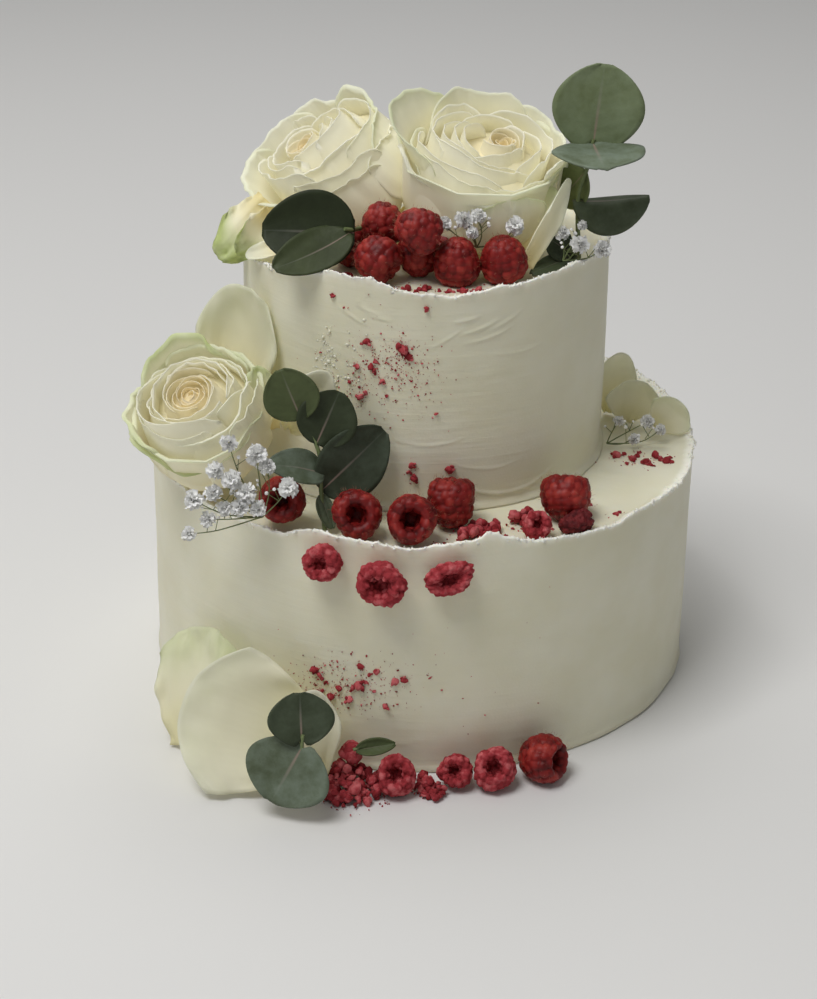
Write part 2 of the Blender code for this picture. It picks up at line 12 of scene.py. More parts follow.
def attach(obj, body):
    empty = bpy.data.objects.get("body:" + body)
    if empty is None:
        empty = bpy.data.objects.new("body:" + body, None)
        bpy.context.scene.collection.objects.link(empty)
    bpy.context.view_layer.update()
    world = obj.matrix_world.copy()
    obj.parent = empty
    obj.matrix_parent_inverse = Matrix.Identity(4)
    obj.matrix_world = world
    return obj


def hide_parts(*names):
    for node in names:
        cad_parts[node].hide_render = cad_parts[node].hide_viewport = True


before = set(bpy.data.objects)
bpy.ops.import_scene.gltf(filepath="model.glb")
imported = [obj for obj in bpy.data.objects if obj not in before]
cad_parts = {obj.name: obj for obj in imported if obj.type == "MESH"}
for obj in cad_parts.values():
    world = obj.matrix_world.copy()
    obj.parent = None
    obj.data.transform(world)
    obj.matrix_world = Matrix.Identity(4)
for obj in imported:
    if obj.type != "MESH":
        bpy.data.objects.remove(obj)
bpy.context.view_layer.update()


# Small helpers

def srgb(code):
    # "#RRGGBB" to linear red, green, blue and alpha
    channels = [int(code[i:i + 2], 16) / 255 for i in (1, 3, 5)]
    return tuple(c / 12.92 if c <= 0.04045 else ((c + 0.055) / 1.055) ** 2.4 for c in channels) + (1.0,)


def smooth(low, high, value):
    share = min(1.0, max(0.0, (value - low) / (high - low)))
    return share * share * (3.0 - 2.0 * share)


def wobble(place, seed=0.0):
    # soft noise from -1 to 1 at a place given in noise cells
    return noise.noise(Vector(place) + Vector((seed * 7.3, seed * 3.1, seed * 5.7)))


def throughMarks(marks, share):
    # a smooth line through marks, share from 0 at the first to 1 at the last
    spot = min(max(share, 0.0), 1.0) * (len(marks) - 1)
    index = min(int(spot), len(marks) - 2)
    t = spot - index
    before, start = Vector(marks[max(0, index - 1)]), Vector(marks[index])
    end, after = Vector(marks[index + 1]), Vector(marks[min(len(marks) - 1, index + 2)])
    return 0.5 * (2 * start + (end - before) * t + (2 * before - 5 * start + 4 * end - after) * t * t
                  + (3 * start - before - 3 * end + after) * t ** 3)


def axesAlong(direction, hint):
    # rotation with Z along the direction and X near the hint
    zAxis = Vector(direction).normalized()
    yAxis = zAxis.cross(Vector(hint)).normalized()
    return Matrix((yAxis.cross(zAxis), yAxis, zAxis)).transposed()


def addNode(tree, kind, settings=None, sockets=None):
    # one node, its properties, and its sockets as values or links
    node = tree.nodes.new(kind)
    for key, value in (settings or {}).items():
        setattr(node, key, value)
    for key, value in (sockets or {}).items():
        if isinstance(value, bpy.types.NodeSocket):
            tree.links.new(value, node.inputs[key])
        else:
            node.inputs[key].default_value = value
    return node


def newMaterial(name):
    material = bpy.data.materials.new(name)
    material.use_nodes = True
    tree = material.node_tree
    return material, tree, tree.nodes["Principled BSDF"]


def makeObject(name, verts, faces, material=None, values=None, edges=()):
    # places in millimetres; values are numbers kept on each point for the material or a node tree
    mesh = bpy.data.meshes.new(name)
    mesh.from_pydata([tuple(c * 0.001 for c in v) for v in verts], list(edges), faces)
    for key, numbers in (values or {}).items():
        if isinstance(numbers[0], (float, int)):
            layer = mesh.attributes.new(key, "FLOAT", "POINT")
            layer.data.foreach_set("value", numbers)
        else:
            layer = mesh.attributes.new(key, "FLOAT_VECTOR", "POINT")
            layer.data.foreach_set("vector", [c for v in numbers for c in v])
    if material:
        mesh.materials.append(material)
    if faces:
        mesh.shade_smooth()
    obj = bpy.data.objects.new(name, mesh)
    bpy.context.scene.collection.objects.link(obj)
    return obj


def bakeModifiers(obj):
    graph = bpy.context.evaluated_depsgraph_get()
    made = bpy.data.meshes.new_from_object(obj.evaluated_get(graph), preserve_all_data_layers=True,
                                           depsgraph=graph)
    obj.modifiers.clear()
    old = obj.data
    obj.data = made
    bpy.data.meshes.remove(old)


def runTree(obj, tree, values):
    modifier = obj.modifiers.new(tree.name, "NODES")
    modifier.node_group = tree
    for item in tree.interface.items_tree:
        if item.item_type == "SOCKET" and item.in_out == "INPUT" and item.name in values:
            modifier[item.identifier] = values[item.name]
    bakeModifiers(obj)


def newTree(name, inputs):
    tree = bpy.data.node_groups.new(name, "GeometryNodeTree")
    tree.interface.new_socket(name="Geometry", in_out="INPUT", socket_type="NodeSocketGeometry")
    for label, kind, value in inputs:
        socket = tree.interface.new_socket(name=label, in_out="INPUT", socket_type="NodeSocket" + kind)
        if value is not None:
            socket.default_value = value
    tree.interface.new_socket(name="Geometry", in_out="OUTPUT", socket_type="NodeSocketGeometry")
    return tree, addNode(tree, "NodeGroupInput").outputs, addNode(tree, "NodeGroupOutput").inputs


def settle(obj, slot, *nodes):
    # the finished piece goes with the one body and stands for its solids
    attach(obj, "root")
    if nodes:
        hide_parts(*nodes)


def join(parts):
    # several (verts, faces, values) as one
    verts, faces, values = [], [], {}
    for partVerts, partFaces, partValues in parts:
        start = len(verts)
        verts += partVerts
        faces += [tuple(start + i for i in face) for face in partFaces]
        for key, numbers in partValues.items():
            values.setdefault(key, []).extend(numbers)
    return verts, faces, values


def gridFaces(rows, columns):
    # faces of a sheet of (rows + 1) x (columns + 1) points
    wide = columns + 1
    return [(r * wide + c, r * wide + c + 1, (r + 1) * wide + c + 1, (r + 1) * wide + c)
            for r in range(rows) for c in range(columns)]


def thicken(obj, thickness):
    shell = obj.modifiers.new("Thickness", "SOLIDIFY")
    shell.thickness = thickness * 0.001
    shell.offset = 0.0
    bakeModifiers(obj)


# Camera, light and floor

def setStage():
    camera = bpy.data.objects.new("camera", bpy.data.cameras.new("camera"))
    bpy.context.scene.collection.objects.link(camera)
    camera.data.lens = 72.07
    camera.data.sensor_width = 36
    pitch, roll = math.radians(90 - 26.37), math.radians(0.78)
    turn = Matrix.Rotation(pitch, 4, "X") @ Matrix.Rotation(roll, 4, "Z")
    camera.matrix_world = Matrix.Translation((-0.006, -0.8133, 0.4702)) @ turn
    bpy.context.scene.camera = camera
    bpy.context.scene.view_settings.view_transform = "Standard"

    lamps = (
        ("skylight", (-0.62, -0.62, 1.85), (0.9, 0.8), 22.5, "#FFFFFF"),
        ("ceilingLight", (-0.3, 0.9, 1.9), (1.6, 1.0), 11.2, "#FFFEFB"),
        ("roomFill", (-1.6, -1.2, 0.8), (1.6, 1.2), 1.5, "#F8FAFF"),
    )
    for name, place, size, power, colour in lamps:
        lamp = bpy.data.objects.new(name, bpy.data.lights.new(name, "AREA"))
        bpy.context.scene.collection.objects.link(lamp)
        lamp.data.shape = "RECTANGLE"
        lamp.data.size, lamp.data.size_y = size
        lamp.data.energy = power
        lamp.data.color = srgb(colour)[:3]
        aim = Vector((0, -0.02, 0.1)) - Vector(place)
        lamp.matrix_world = Matrix.Translation(place) @ aim.to_track_quat("-Z", "Y").to_matrix().to_4x4()

    world = bpy.data.worlds.new("softRoom")
    world.use_nodes = True
    world.node_tree.nodes["Background"].inputs["Color"].default_value = srgb("#EAEBEC")
    world.node_tree.nodes["Background"].inputs["Strength"].default_value = 0.26
    bpy.context.scene.world = world

    # plain floor, matt and pale
    material, _, shader = newMaterial("paleFloor")
    shader.inputs["Base Color"].default_value = srgb("#DEDDDB")
    shader.inputs["Roughness"].default_value = 0.6
    floor = makeObject("floor", [(-6000, -4000, 0), (6000, -4000, 0), (6000, 8000, 0), (-6000, 8000, 0)],
                       [(0, 1, 2, 3)], material)


# Materials

def placeOf(tree):
    # the place on the object, in its own frame
    return addNode(tree, "ShaderNodeTexCoord").outputs["Object"]


def keptValue(tree, label):
    # a number that makeObject kept on the points
    return addNode(tree, "ShaderNodeAttribute", {"attribute_name": label}).outputs["Fac"]


def cloudOf(tree, place, scale, detail, roughness=0.5):
    return addNode(tree, "ShaderNodeTexNoise", None, {
        "Vector": place, "Scale": scale, "Detail": detail, "Roughness": roughness}).outputs["Fac"]


def work(tree, operation, *values):
    # one sum, for materials and for trees that make shapes
    return addNode(tree, "ShaderNodeMath", {"operation": operation}, dict(enumerate(values))).outputs[0]


def ranged(tree, value, fromLow, fromHigh, toLow, toHigh):
    return addNode(tree, "ShaderNodeMapRange", None, {
        "Value": value, "From Min": fromLow, "From Max": fromHigh,
        "To Min": toLow, "To Max": toHigh}).outputs["Result"]


def mixOf(tree, amount, first, second, blend="MIX"):
    return addNode(tree, "ShaderNodeMix", {"data_type": "RGBA", "blend_type": blend}, {
        0: amount, 6: first, 7: second}).outputs[2]


def rampOf(tree, value, stops):
    # stops are (position, colour), lowest first
    ramp = addNode(tree, "ShaderNodeValToRGB", None, {"Fac": value})
    marks = ramp.color_ramp.elements
    for mark, (position, colour) in ((marks[0], stops[0]), (marks[1], stops[-1])):
        mark.position, mark.color = position, srgb(colour)
    for position, colour in stops[1:-1]:
        marks.new(position).color = srgb(colour)
    return ramp.outputs["Color"]


def bumpOf(tree, strength, distance, height, normal=None):
    sockets = {"Strength": strength, "Distance": distance, "Height": height}
    if normal is not None:
        sockets["Normal"] = normal
    return addNode(tree, "ShaderNodeBump", None, sockets).outputs["Normal"]


def makeButtercream():
    # whipped butter icing drawn with a metal scraper: ivory, soft satin, faint drag lines and pores
    # torn is the painted highlight colour of the crest, whiter than the ivory
    look = {"torn": "#FDFBEE", "ivory": "#E9E6D0", "cream": "#E1DDC2", "dragLines": 0.12, "pores": 0.10}
    material, tree, shader = newMaterial("whippedButtercream")
    place = placeOf(tree)
    # patches of slightly deeper cream about 30 mm across
    tone = rampOf(tree, cloudOf(tree, place, 33.0, 3.0), ((0.35, look["cream"]), (0.7, look["ivory"])))
    # the torn edge is painted whiter: painted light where the crest catches the light from above
    paintedCrestLight = mixOf(tree, keptValue(tree, "edge"), tone, srgb(look["torn"]))
    tree.links.new(paintedCrestLight, shader.inputs["Base Color"])
    # drag lines run round the cake about 1.5 mm apart
    drawn = addNode(tree, "ShaderNodeMapping", None, {"Vector": place, "Scale": (22.0, 22.0, 700.0)})
    lines = bumpOf(tree, look["dragLines"], 0.0012, cloudOf(tree, drawn.outputs["Vector"], 1.0, 4.0, 0.6))
    pores = bumpOf(tree, look["pores"], 0.0006, cloudOf(tree, place, 900.0, 4.0), lines)
    tree.links.new(pores, shader.inputs["Normal"])
    shader.inputs["Roughness"].default_value = 0.5
    shader.inputs["IOR"].default_value = 1.46
    shader.inputs["Subsurface Weight"].default_value = 0.25
    shader.inputs["Subsurface Radius"].default_value = (1.0, 0.8, 0.5)
    shader.inputs["Subsurface Scale"].default_value = 0.0025
    return material


def makePetalSkin(name, look):
    # fresh rose petal: velvety and thin, warm where light comes through, green where it grew
    material, tree, shader = newMaterial(name)
    place = placeOf(tree)
    stops = ((0.0, look["root"]), (0.45, look["face"]), (1.0, look["lip"]))
    plain = rampOf(tree, keptValue(tree, "along"), stops)
    # the heart of the flower is a little warmer
    warm = ranged(tree, keptValue(tree, "ring"), 0.0, 0.35, look["warmth"], 0.0)
    heart = mixOf(tree, warm, plain, srgb(look["heart"]))
    # cloudy green towards some rims, patches about 12 mm
    cloud = cloudOf(tree, place, 80.0, 3.0)
    amount = work(tree, "MULTIPLY", cloud, keptValue(tree, "green"))
    tinted = mixOf(tree, amount, heart, srgb(look["green"]))
    tree.links.new(tinted, shader.inputs["Base Color"])
    # veins fan from the root, about 1 mm apart
    lane = work(tree, "MULTIPLY", keptValue(tree, "across"), 60.0)
    vein = work(tree, "SINE", work(tree, "MULTIPLY_ADD", cloud, 6.0, lane))
    relief = work(tree, "MULTIPLY_ADD", vein, 0.25, cloudOf(tree, place, 700.0, 2.0))
    veined = bumpOf(tree, 0.05, 0.0006, relief)
    tree.links.new(veined, shader.inputs["Normal"])
    shader.inputs["Roughness"].default_value = 0.6
    shader.inputs["IOR"].default_value = 1.4
    shader.inputs["Specular IOR Level"].default_value = 0.35
    # petals hand light on to each other; this faint glow stands in for what is lost on the way
    tree.links.new(tinted, shader.inputs["Emission Color"])
    shader.inputs["Emission Strength"].default_value = look["glow"]
    through = addNode(tree, "ShaderNodeBsdfTranslucent", None, {"Color": tinted, "Normal": veined})
    blend = addNode(tree, "ShaderNodeMixShader", None, {
        "Fac": 0.42, 1: shader.outputs["BSDF"], 2: through.outputs["BSDF"]})
    out = next(node for node in tree.nodes if node.type == "OUTPUT_MATERIAL")
    tree.links.new(blend.outputs["Shader"], out.inputs["Surface"])
    return material


def makeLeafSkin(name, look):
    # eucalyptus leaf: leathery green under a pale waxy bloom that rubs off in blotches
    material, tree, shader = newMaterial(name)
    place, along = placeOf(tree), keptValue(tree, "along")
    blotch = cloudOf(tree, place, 110.0, 6.0, 0.65)
    # painted shade: light says how much light a leaf gets, from the deep green of a leaf in shade to the
    # green of a lit leaf
    green = mixOf(tree, keptValue(tree, "light"), srgb(look["deep"]), srgb(look["green"]))
    mottled = mixOf(tree, 1.0, green, ranged(tree, blotch, 0.3, 0.7, 0.8, 1.15), "MULTIPLY")
    cover = work(tree, "MULTIPLY", ranged(tree, blotch, 0.30, 0.66, 0.25, 1.0), keptValue(tree, "bloom"))
    body = mixOf(tree, cover, mottled, srgb(look["bloom"]))
    # midrib, narrow and paler, pinkish near the stalk
    away = work(tree, "ABSOLUTE", keptValue(tree, "across"))
    rib = ranged(tree, away, 0.01, 0.05, 0.6, 0.0)
    ribbing = work(tree, "MULTIPLY", rib, ranged(tree, along, 0.15, 0.85, 1.0, 0.15))
    ribTone = mixOf(tree, along, srgb(look["ribRoot"]), srgb(look["bloom"]))
    tree.links.new(mixOf(tree, ribbing, body, ribTone), shader.inputs["Base Color"])
    # side veins leave the midrib every 3 mm or so
    vein = work(tree, "SINE", work(tree, "MULTIPLY_ADD", along, 42.0, work(tree, "MULTIPLY", away, -9.0)))
    relief = work(tree, "MULTIPLY_ADD", vein, 0.2, cloudOf(tree, place, 520.0, 4.0))
    tree.links.new(bumpOf(tree, 0.16, 0.0008, relief), shader.inputs["Normal"])
    shader.inputs["Roughness"].default_value = 0.55
    shader.inputs["IOR"].default_value = 1.45
    shader.inputs["Specular IOR Level"].default_value = 0.3
    return material


def makeBerrySkin(name, look):
    # raspberry: tight juicy drupelets, or the same freeze-dried, when it is chalky and dull
    material, tree, shader = newMaterial(name)
    place = placeOf(tree)
    patch = cloudOf(tree, place, look["patch"], 4.0)
    # tone carries painted shade in the creases and hollows, and painted light on the drupelet domes, as well
    # as each piece's own tone
    blend = work(tree, "MULTIPLY_ADD", patch, 0.9, keptValue(tree, "tone"))
    stops = ((0.35, look["deep"]), (0.72, look["red"]), (1.0, look["bright"]))
    tree.links.new(rampOf(tree, blend, stops), shader.inputs["Base Color"])
    grain = bumpOf(tree, look["rough"], 0.0006, cloudOf(tree, place, look["grain"], 4.0))
    tree.links.new(grain, shader.inputs["Normal"])
    shader.inputs["Roughness"].default_value = look["dull"]
    shader.inputs["IOR"].default_value = 1.4
    shader.inputs["Specular IOR Level"].default_value = look["shine"]
    shader.inputs["Subsurface Weight"].default_value = look["glow"]
    shader.inputs["Subsurface Radius"].default_value = (1.0, 0.25, 0.2)
    shader.inputs["Subsurface Scale"].default_value = 0.0012
    return material


def makePlain(name, look):
    # soft plant matter with a slight mottle
    material, tree, shader = newMaterial(name)
    mottle = cloudOf(tree, placeOf(tree), look["patch"], 3.0)
    colour = mixOf(tree, mottle, srgb(look["light"]), srgb(look["dark"]))
    tree.links.new(colour, shader.inputs["Base Color"])
    shader.inputs["Roughness"].default_value = look["dull"]
    shader.inputs["Subsurface Weight"].default_value = look["glow"]
    shader.inputs["Subsurface Radius"].default_value = (1.0, 1.0, 0.95)
    shader.inputs["Subsurface Scale"].default_value = 0.0015
    return material


print("stage and materials")
setStage()
buttercream = makeButtercream()
roseSkin = makePetalSkin("whiteRosePetal", {
    "root": "#FBF0BC", "face": "#FFFBE4", "lip": "#FFFEF4", "heart": "#FFEFC2", "warmth": 0.6, "glow": 0.045,
    "green": "#D2DC9A"})
loosePetalSkin = makePetalSkin("fallenRosePetal", {
    "root": "#F4EFC8", "face": "#FBF8E2", "lip": "#FEFCF0", "heart": "#F3E9CC", "warmth": 0.0, "glow": 0.0,
    "green": "#CDD88F"})
leafSkin = makeLeafSkin("eucalyptusLeaf", {
    "deep": "#2A321C", "green": "#7A8657", "bloom": "#87948B", "ribRoot": "#A9877C"})
berrySkin = makeBerrySkin("freshRaspberry", {
    "deep": "#480B0B", "red": "#7E1A18", "bright": "#A2372F", "patch": 150.0, "grain": 1800.0,
    "rough": 0.12, "dull": 0.48, "shine": 0.36, "glow": 0.2})
driedSkin = makeBerrySkin("freezeDriedRaspberry", {
    "deep": "#741E21", "red": "#A33A40", "bright": "#C96A6C", "patch": 420.0, "grain": 1500.0,
    "rough": 0.6, "dull": 0.85, "shine": 0.2, "glow": 0.1})
floretSkin = makePlain("gypsophilaFloret", {
    "light": "#FDFDFB", "dark": "#F2F2EE", "patch": 500.0, "dull": 0.6, "glow": 0.6})
stemSkin = makePlain("greenStem", {
    "light": "#7F8A5A", "dark": "#5B6A40", "patch": 300.0, "dull": 0.55, "glow": 0.0})
hairSkin = makePlain("raspberryHair", {
    "light": "#B98A6A", "dark": "#8C4A3C", "patch": 300.0, "dull": 0.6, "glow": 0.0})


# Geometry Nodes trees

def pointValue(tree, label, kind="FLOAT"):
    # a number or direction that makeObject kept on the points
    return addNode(tree, "GeometryNodeInputNamedAttribute", {"data_type": kind}, {"Name": label}).outputs[0]


def onPoints(tree, points, shape, turn, scale=None):
    # the shape on every point, as real mesh
    sockets = {"Points": points, "Instance": shape, "Rotation": turn}
    if scale is not None:
        sockets["Scale"] = scale
    placed = addNode(tree, "GeometryNodeInstanceOnPoints", None, sockets)
    return addNode(tree, "GeometryNodeRealizeInstances", None, {"Geometry": placed.outputs[0]}).outputs[0]


def turnTo(tree, direction):
    return addNode(tree, "FunctionNodeAlignRotationToVector", {"axis": "Z"}, {"Vector": direction}).outputs[0]


def softened(tree, geometry):
    return addNode(tree, "GeometryNodeSetShadeSmooth", None, {"Geometry": geometry}).outputs[0]


def endTree(tree, geometry, given, result):
    # the material goes on last
    skin = addNode(tree, "GeometryNodeSetMaterial", None, {"Geometry": geometry, "Material": given["Skin"]})
    tree.links.new(skin.outputs["Geometry"], result["Geometry"])
    return tree


def makeDrupeletTree():
    # a lump on each point, turned to face outwards, knocked slightly out of round
    tree, given, result = newTree("drupelets", (
        ("Faces", "Int", 2), ("Flatness", "Float", 0.85), ("Knock", "Float", 0.0001),
        ("Knock Scale", "Float", 600.0), ("Skin", "Material", None)))
    size = pointValue(tree, "size")
    tall = work(tree, "MULTIPLY", size, given["Flatness"])
    scale = addNode(tree, "ShaderNodeCombineXYZ", None, {"X": size, "Y": size, "Z": tall})
    ball = addNode(tree, "GeometryNodeMeshIcoSphere", None, {"Radius": 1.0, "Subdivisions": given["Faces"]})
    real = onPoints(tree, given["Geometry"], ball.outputs["Mesh"],
                    turnTo(tree, pointValue(tree, "facing", "FLOAT_VECTOR")), scale.outputs[0])
    where = addNode(tree, "GeometryNodeInputPosition")
    bumps = addNode(tree, "ShaderNodeTexNoise", None, {
        "Vector": where.outputs[0], "Scale": given["Knock Scale"], "Detail": 2.0})
    centred = addNode(tree, "ShaderNodeVectorMath", {"operation": "SUBTRACT"}, {
        0: bumps.outputs["Color"], 1: (0.5, 0.5, 0.5)})
    push = addNode(tree, "ShaderNodeVectorMath", {"operation": "SCALE"}, {
        0: centred.outputs["Vector"], "Scale": given["Knock"]})
    shaped = addNode(tree, "GeometryNodeSetPosition", None, {
        "Geometry": real, "Offset": push.outputs["Vector"]})
    return endTree(tree, softened(tree, shaped.outputs["Geometry"]), given, result)


def makeHairTree():
    # a fine bristle from each point
    tree, given, result = newTree("bristles", (
        ("Length", "Float", 0.0016), ("Radius", "Float", 0.00006), ("Skin", "Material", None)))
    lean = addNode(tree, "FunctionNodeRandomValue", {"data_type": "FLOAT_VECTOR"}, {
        0: (-0.6, -0.6, -0.6), 1: (0.6, 0.6, 0.6), "Seed": 5})
    aim = addNode(tree, "ShaderNodeVectorMath", {"operation": "ADD"}, {
        0: pointValue(tree, "facing", "FLOAT_VECTOR"), 1: lean.outputs[0]})
    cone = addNode(tree, "GeometryNodeMeshCone", None, {
        "Vertices": 3, "Radius Bottom": given["Radius"], "Radius Top": 0.00001, "Depth": given["Length"]})
    real = onPoints(tree, given["Geometry"], cone.outputs["Mesh"], turnTo(tree, aim.outputs[0]))
    return endTree(tree, real, given, result)


def makeFloretTree():
    # a ruffled ball of small notched petals on each point
    tree, given, result = newTree("florets", (
        ("Petal Width", "Float", 0.62), ("Petal Length", "Float", 0.78), ("Skin", "Material", None)))
    sheet = addNode(tree, "GeometryNodeMeshGrid", None, {
        "Size X": given["Petal Width"], "Size Y": given["Petal Length"], "Vertices X": 4, "Vertices Y": 4})
    where = addNode(tree, "GeometryNodeInputPosition")
    parts = addNode(tree, "ShaderNodeSeparateXYZ", None, {"Vector": where.outputs[0]})
    x, y = parts.outputs["X"], parts.outputs["Y"]
    # narrow at the root, cupped, with a wavy outer edge
    across = work(tree, "MULTIPLY", x, ranged(tree, y, -0.39, 0.1, 0.35, 1.0))
    ruffle = work(tree, "MULTIPLY", work(tree, "SINE", work(tree, "MULTIPLY", x, 13.0)), 0.09)
    height = work(tree, "MULTIPLY_ADD", work(tree, "MULTIPLY", y, y), 0.8, ruffle)
    moved = addNode(tree, "ShaderNodeCombineXYZ", None, {
        "X": across, "Y": height, "Z": work(tree, "ADD", y, 0.42)})
    petal = addNode(tree, "GeometryNodeSetPosition", None, {
        "Geometry": sheet.outputs["Mesh"], "Position": moved.outputs["Vector"]})
    ball = addNode(tree, "GeometryNodeMeshIcoSphere", None, {"Radius": 0.16, "Subdivisions": 2})
    normal = addNode(tree, "GeometryNodeInputNormal")
    spin = addNode(tree, "FunctionNodeRandomValue", {"data_type": "FLOAT"}, {2: 0.0, 3: 6.28, "Seed": 3})
    twist = addNode(tree, "ShaderNodeCombineXYZ", None, {"Z": spin.outputs[1]})
    turned = addNode(tree, "FunctionNodeRotateRotation", {"rotation_space": "LOCAL"}, {
        0: turnTo(tree, normal.outputs[0]), 1: twist.outputs["Vector"]})
    jitter = addNode(tree, "FunctionNodeRandomValue", {"data_type": "FLOAT"}, {2: 0.65, 3: 1.1, "Seed": 9})
    ruff = addNode(tree, "GeometryNodeInstanceOnPoints", None, {
        "Points": ball.outputs["Mesh"], "Instance": petal.outputs["Geometry"],
        "Rotation": turned.outputs["Rotation"], "Scale": jitter.outputs[1]})
    whole = addNode(tree, "FunctionNodeRandomValue", {"data_type": "FLOAT_VECTOR"}, {
        0: (0.0, 0.0, 0.0), 1: (6.28, 6.28, 6.28), "Seed": 21})
    real = onPoints(tree, given["Geometry"], ruff.outputs["Instances"], whole.outputs[0],
                    pointValue(tree, "size"))
    return endTree(tree, softened(tree, real), given, result)


def makeStemTree():
    # round stems along the edges, as thick as each point says
    tree, given, result = newTree("stems", (("Sides", "Int", 7), ("Skin", "Material", None)))
    thick = pointValue(tree, "thick")
    path = addNode(tree, "GeometryNodeMeshToCurve", None, {"Mesh": given["Geometry"]})
    sized = addNode(tree, "GeometryNodeSetCurveRadius", None,
                    {"Curve": path.outputs["Curve"], "Radius": thick})
    ring = addNode(tree, "GeometryNodeCurvePrimitiveCircle", {"mode": "RADIUS"}, {
        "Resolution": given["Sides"], "Radius": 1.0})
    swept = addNode(tree, "GeometryNodeCurveToMesh", None, {
        "Curve": sized.outputs["Curve"], "Profile Curve": ring.outputs["Curve"], "Fill Caps": True,
        "Scale": thick})
    real = addNode(tree, "GeometryNodeRealizeInstances", None, {
        "Geometry": softened(tree, swept.outputs["Mesh"])})
    return endTree(tree, real.outputs["Geometry"], given, result)


drupeletTree = makeDrupeletTree()
hairTree = makeHairTree()
floretTree = makeFloretTree()
stemTree = makeStemTree()


def makeStems(name, paths, skin):
    # paths are lists of points with the radius at each end, in millimetres
    verts, edges, thick = [], [], []
    for points, rootRadius, endRadius in paths:
        pieces = 5 * (len(points) - 1)
        curve = [throughMarks(points, i / pieces) for i in range(pieces + 1)]
        for index, point in enumerate(curve):
            share = index / (len(curve) - 1)
            verts.append(tuple(point))
            thick.append((rootRadius + (endRadius - rootRadius) * share) * 0.001)
            if index:
                edges.append((len(verts) - 2, len(verts) - 1))
    obj = makeObject(name, verts, [], None, {"thick": thick}, edges)
    runTree(obj, stemTree, {"Skin": skin})
    return obj


# The two iced cakes

icingLook = {
    # how far the side strays from round, broad waves of the hand and fine scraper lines, in millimetres
    "outOfRound": 0.5, "handWave": 0.45, "sag": 5.0, "dragLine": 0.06, "fineLine": 0.05,
    # half thickness and bow of a knife ridge, then the bead along the foot
    "ridgeThick": 0.55, "ridgeBow": 0.012, "bead": 0.9, "beadWave": 0.7, "beadHeight": 1.2, "beadThick": 1.3,
    # the torn edge: where it starts below the top, its lean, its thickness and the slope inside it
    "shoulder": 4.0, "lean": 0.6, "leanWave": 0.9, "lip": 1.7, "lipWave": 0.8, "slope": 6.0, "slopeWave": 2.5,
    "tear": 0.35, "crestAt": 0.45,
    # strokes of the palette knife on the top, which rises a little towards the edge
    "stroke": 0.35, "fineStroke": 0.14, "rise": 0.6,
    "edgeRows": 16, "topRows": 22,
}
lowerCake = {
    "radius": 120.0, "bottom": 0.0, "top": 100.0, "steps": 720, "sideRows": 68, "seed": 1.3,
    "nodeName": "lower_tier", "flare": -0.4,
    # knife ridges: heading, height, half length, slope, how proud
    "ridges": ((-80, 84, 16, 0.08, 0.3), (-112, 30, 14, 0.1, 0.3), (-66, 60, 20, 0.04, 0.25),
               (-104, 70, 14, -0.1, 0.25), (80, 60, 22, 0.05, 0.35), (150, 40, 18, -0.08, 0.35),
               (20, 70, 20, 0.06, 0.3), (-95, 14, 18, 0.03, 0.3)),
    # how high the torn edge stands by heading, read round from the left
    "rim": ((-180, 103), (-150, 104.5), (-119, 104), (-111, 108.6), (-106, 107.2), (-98, 106.6), (-95, 105.3),
            (-91, 105.0), (-87, 106.4), (-82.5, 107.8), (-79.4, 109.0), (-78, 111.0), (-76.2, 110.6),
            (-74.4, 108.0), (-68, 104.9), (-63, 104.2), (-56, 103), (-49, 102.2), (-44, 103.8),
            (-38, 103.7), (-21, 101.6), (0, 102.4), (35, 105), (60, 102.6), (95, 105.4), (130, 102.4),
            (160, 104.4), (180, 103)),
}
upperCake = {
    "radius": 78.0, "bottom": 100.3, "top": 192.0, "steps": 720, "sideRows": 130, "seed": 4.1,
    "nodeName": "upper_tier", "flare": 1.6,
    "ridges": ((-74, 180, 9, 0.35, 0.5), (-71, 176, 12, 0.30, 0.45), (-66, 182, 8, 0.5, 0.4),
               (-78, 184, 6, 0.2, 0.5), (-108, 187, 8, -0.35, 0.45), (-112, 183, 7, -0.5, 0.5),
               (-104, 184, 6, -0.2, 0.4), (-84, 176, 7, 0.6, 0.35), (-60, 168, 14, 0.1, 0.3),
               (-88, 130, 16, 0.05, 0.3), (-70, 118, 18, -0.05, 0.3), (100, 150, 16, 0.1, 0.4),
               (160, 170, 14, -0.1, 0.4), (40, 140, 18, 0.1, 0.35), (-62, 105.5, 26, 0.02, 0.8),
               (-84, 104.0, 14, 0.05, 0.5), (-48, 103.6, 16, -0.02, 0.5)),
    "rim": ((-180, 195), (-153, 192.9), (-142, 194), (-131, 197.6), (-125.5, 198.4), (-119, 200.9),
            (-116, 200.6), (-112, 199.7), (-107, 200.1), (-102, 198.4), (-98, 195.8), (-89, 195.0),
            (-82, 194.2), (-76, 195.2), (-68, 197.1), (-62, 196.8), (-51, 198.5), (-40, 199.0),
            (-17.5, 197.1), (10, 195), (30, 197), (60, 195), (85, 198.4), (120, 195), (140, 197.4),
            (165, 196), (180, 195)),
}


def around(cake, cos, sin, cell, level):
    # noise that runs round a cake in patches about a cell wide
    radius = cake["radius"]
    return wobble((cos * radius / cell, sin * radius / cell, level), cake["seed"])


def edgeHeight(cake, heading):
    # smooth line through the edge heights, with fine tearing on top
    marks = cake["rim"]
    for (low, before), (high, after) in zip(marks, marks[1:]):
        if low <= heading <= high:
            height = before + (after - before) * smooth(low, high, heading)
            break
    cos, sin = math.cos(math.radians(heading)), math.sin(math.radians(heading))
    return height + 0.55 * around(cake, cos, sin, 7, 0.5) + 0.7 * around(cake, cos, sin, 2.0, 1.5)


